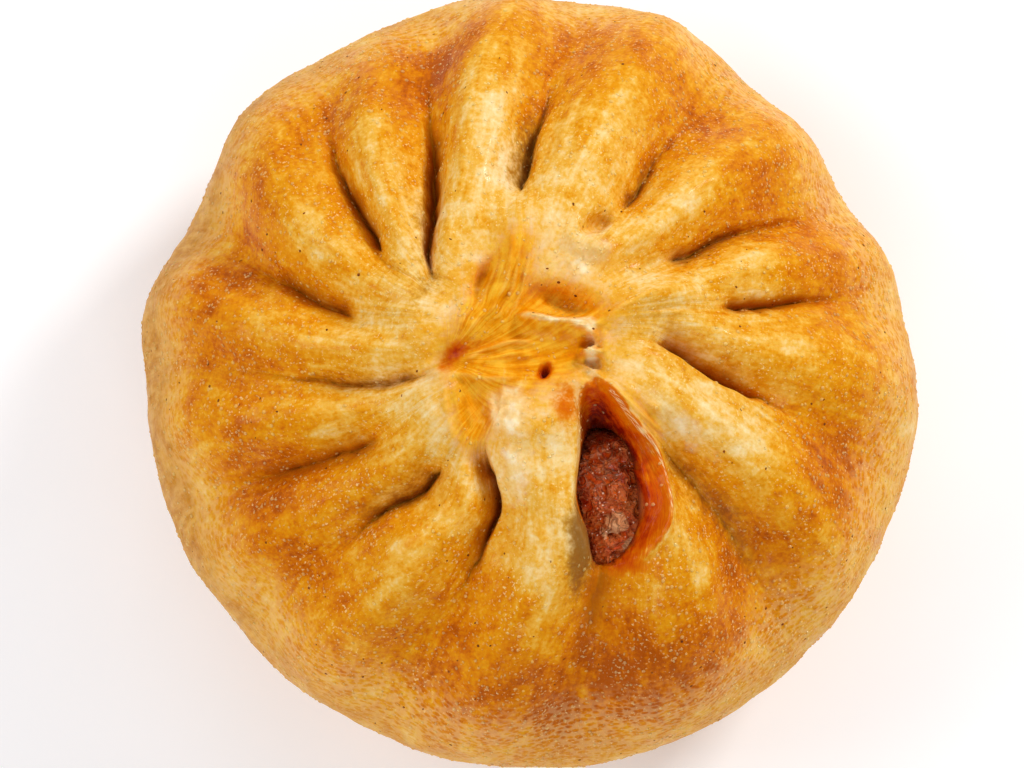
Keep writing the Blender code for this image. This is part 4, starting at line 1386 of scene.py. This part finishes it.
addScatterMasks(dough)
scatterTree = makeScatterTree()
pieces = [(dough, "dough", "fried_dough"), (filling, "filling", "pork_filling")]
for name, given, host, where, material in (
    ("bunBlisters", blisters, dough, "bubbly", blisterMaterial),
    ("bunSpecks", specks, dough, "charred", makeSpeckMaterial()),
    ("glazeDrops", drops, filling, "beaded", makeDropMaterial()),
):
    piece = scatter(name, host, scatterTree, {
        "Density": given["density"], "Spacing": given["spacing"] * mm, "Smallest": given["smallest"] * mm,
        "Largest": given["largest"] * mm, "Flatness": given["flatness"], "Where": where,
        "Seed": given["seed"], "Material": material,
    })
    print(name, len(piece.data.polygons) // 20)
    pieces.append((piece, "filling", "pork_filling") if host is filling else (piece, "dough", "fried_dough"))

for piece, node, slot in pieces:
    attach(piece, "root")
    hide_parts(node)

# Floor, lights and camera

floorSize = 2.4
corners = [(x * floorSize / mm, y * floorSize / mm, -0.05) for x, y in ((-1, -1), (1, -1), (1, 1), (-1, 1))]
floor = meshPiece("paleFloor", corners, [(0, 1, 2, 3)])
material, tree, shader, place = startMaterial("palePaper")
paper = ramp(tree, grainOf(tree, place, 30 * mm, 2.0), ((0.3, (250, 249, 251)), (0.7, (253, 252, 254))))
feed(tree, shader.inputs["Base Color"], paper)
shader.inputs["Roughness"].default_value = 0.9
shader.inputs["Emission Color"].default_value = (0.94, 0.95, 1.0, 1.0)
shader.inputs["Emission Strength"].default_value = 0.08  # keeps the paper white away from the lights
floor.data.materials.append(material)

lights = (
    dict(name="keyLight", place=(0.30, 0.26, 0.30), size=0.12, watts=1.35, tone=(1.0, 1.0, 0.98)),
    dict(name="leftLight", place=(-0.42, 0.05, 0.34), size=0.3, watts=1.05, tone=(1.0, 1.0, 1.0)),
    dict(name="frontLight", place=(0.05, -0.45, 0.36), size=0.3, watts=0.9, tone=(1.0, 1.0, 1.0)),
    dict(name="backLight", place=(-0.1, 0.45, 0.4), size=0.3, watts=0.35, tone=(1.0, 1.0, 1.0)),
)
aim = Vector((0.0, 0.0, 0.024))
for given in lights:
    data = bpy.data.lights.new(given["name"], "AREA")
    data.size = given["size"]
    data.energy = given["watts"]
    data.color = given["tone"]
    lamp = bpy.data.objects.new(given["name"], data)
    lamp.location = given["place"]
    lamp.rotation_euler = (Vector(given["place"]) - aim).to_track_quat("Z", "Y").to_euler()
    bpy.context.scene.collection.objects.link(lamp)

world = bpy.data.worlds.new("softRoom")
world.use_nodes = True
sky = next(node for node in world.node_tree.nodes if node.type == "BACKGROUND")
sky.inputs["Color"].default_value = (1.0, 1.0, 1.0, 1.0)
sky.inputs["Strength"].default_value = 0.38
bpy.context.scene.world = world
bpy.context.scene.view_settings.view_transform = "Standard"

view = dict(elevation=80.0, distance=0.258, lens=85.0, sensor=36.0, shiftX=-16 / 1024, shiftY=-20 / 1024)
lens = bpy.data.cameras.new("photoCamera")
lens.lens, lens.sensor_width = view["lens"], view["sensor"]
lens.shift_x, lens.shift_y = view["shiftX"], view["shiftY"]
camera = bpy.data.objects.new("photoCamera", lens)
tilt = math.radians(view["elevation"])
back = Vector((0.0, -math.cos(tilt), math.sin(tilt)))
camera.location = aim + back * view["distance"]
camera.rotation_euler = back.to_track_quat("Z", "Y").to_euler()
bpy.context.scene.collection.objects.link(camera)
bpy.context.scene.camera = camera
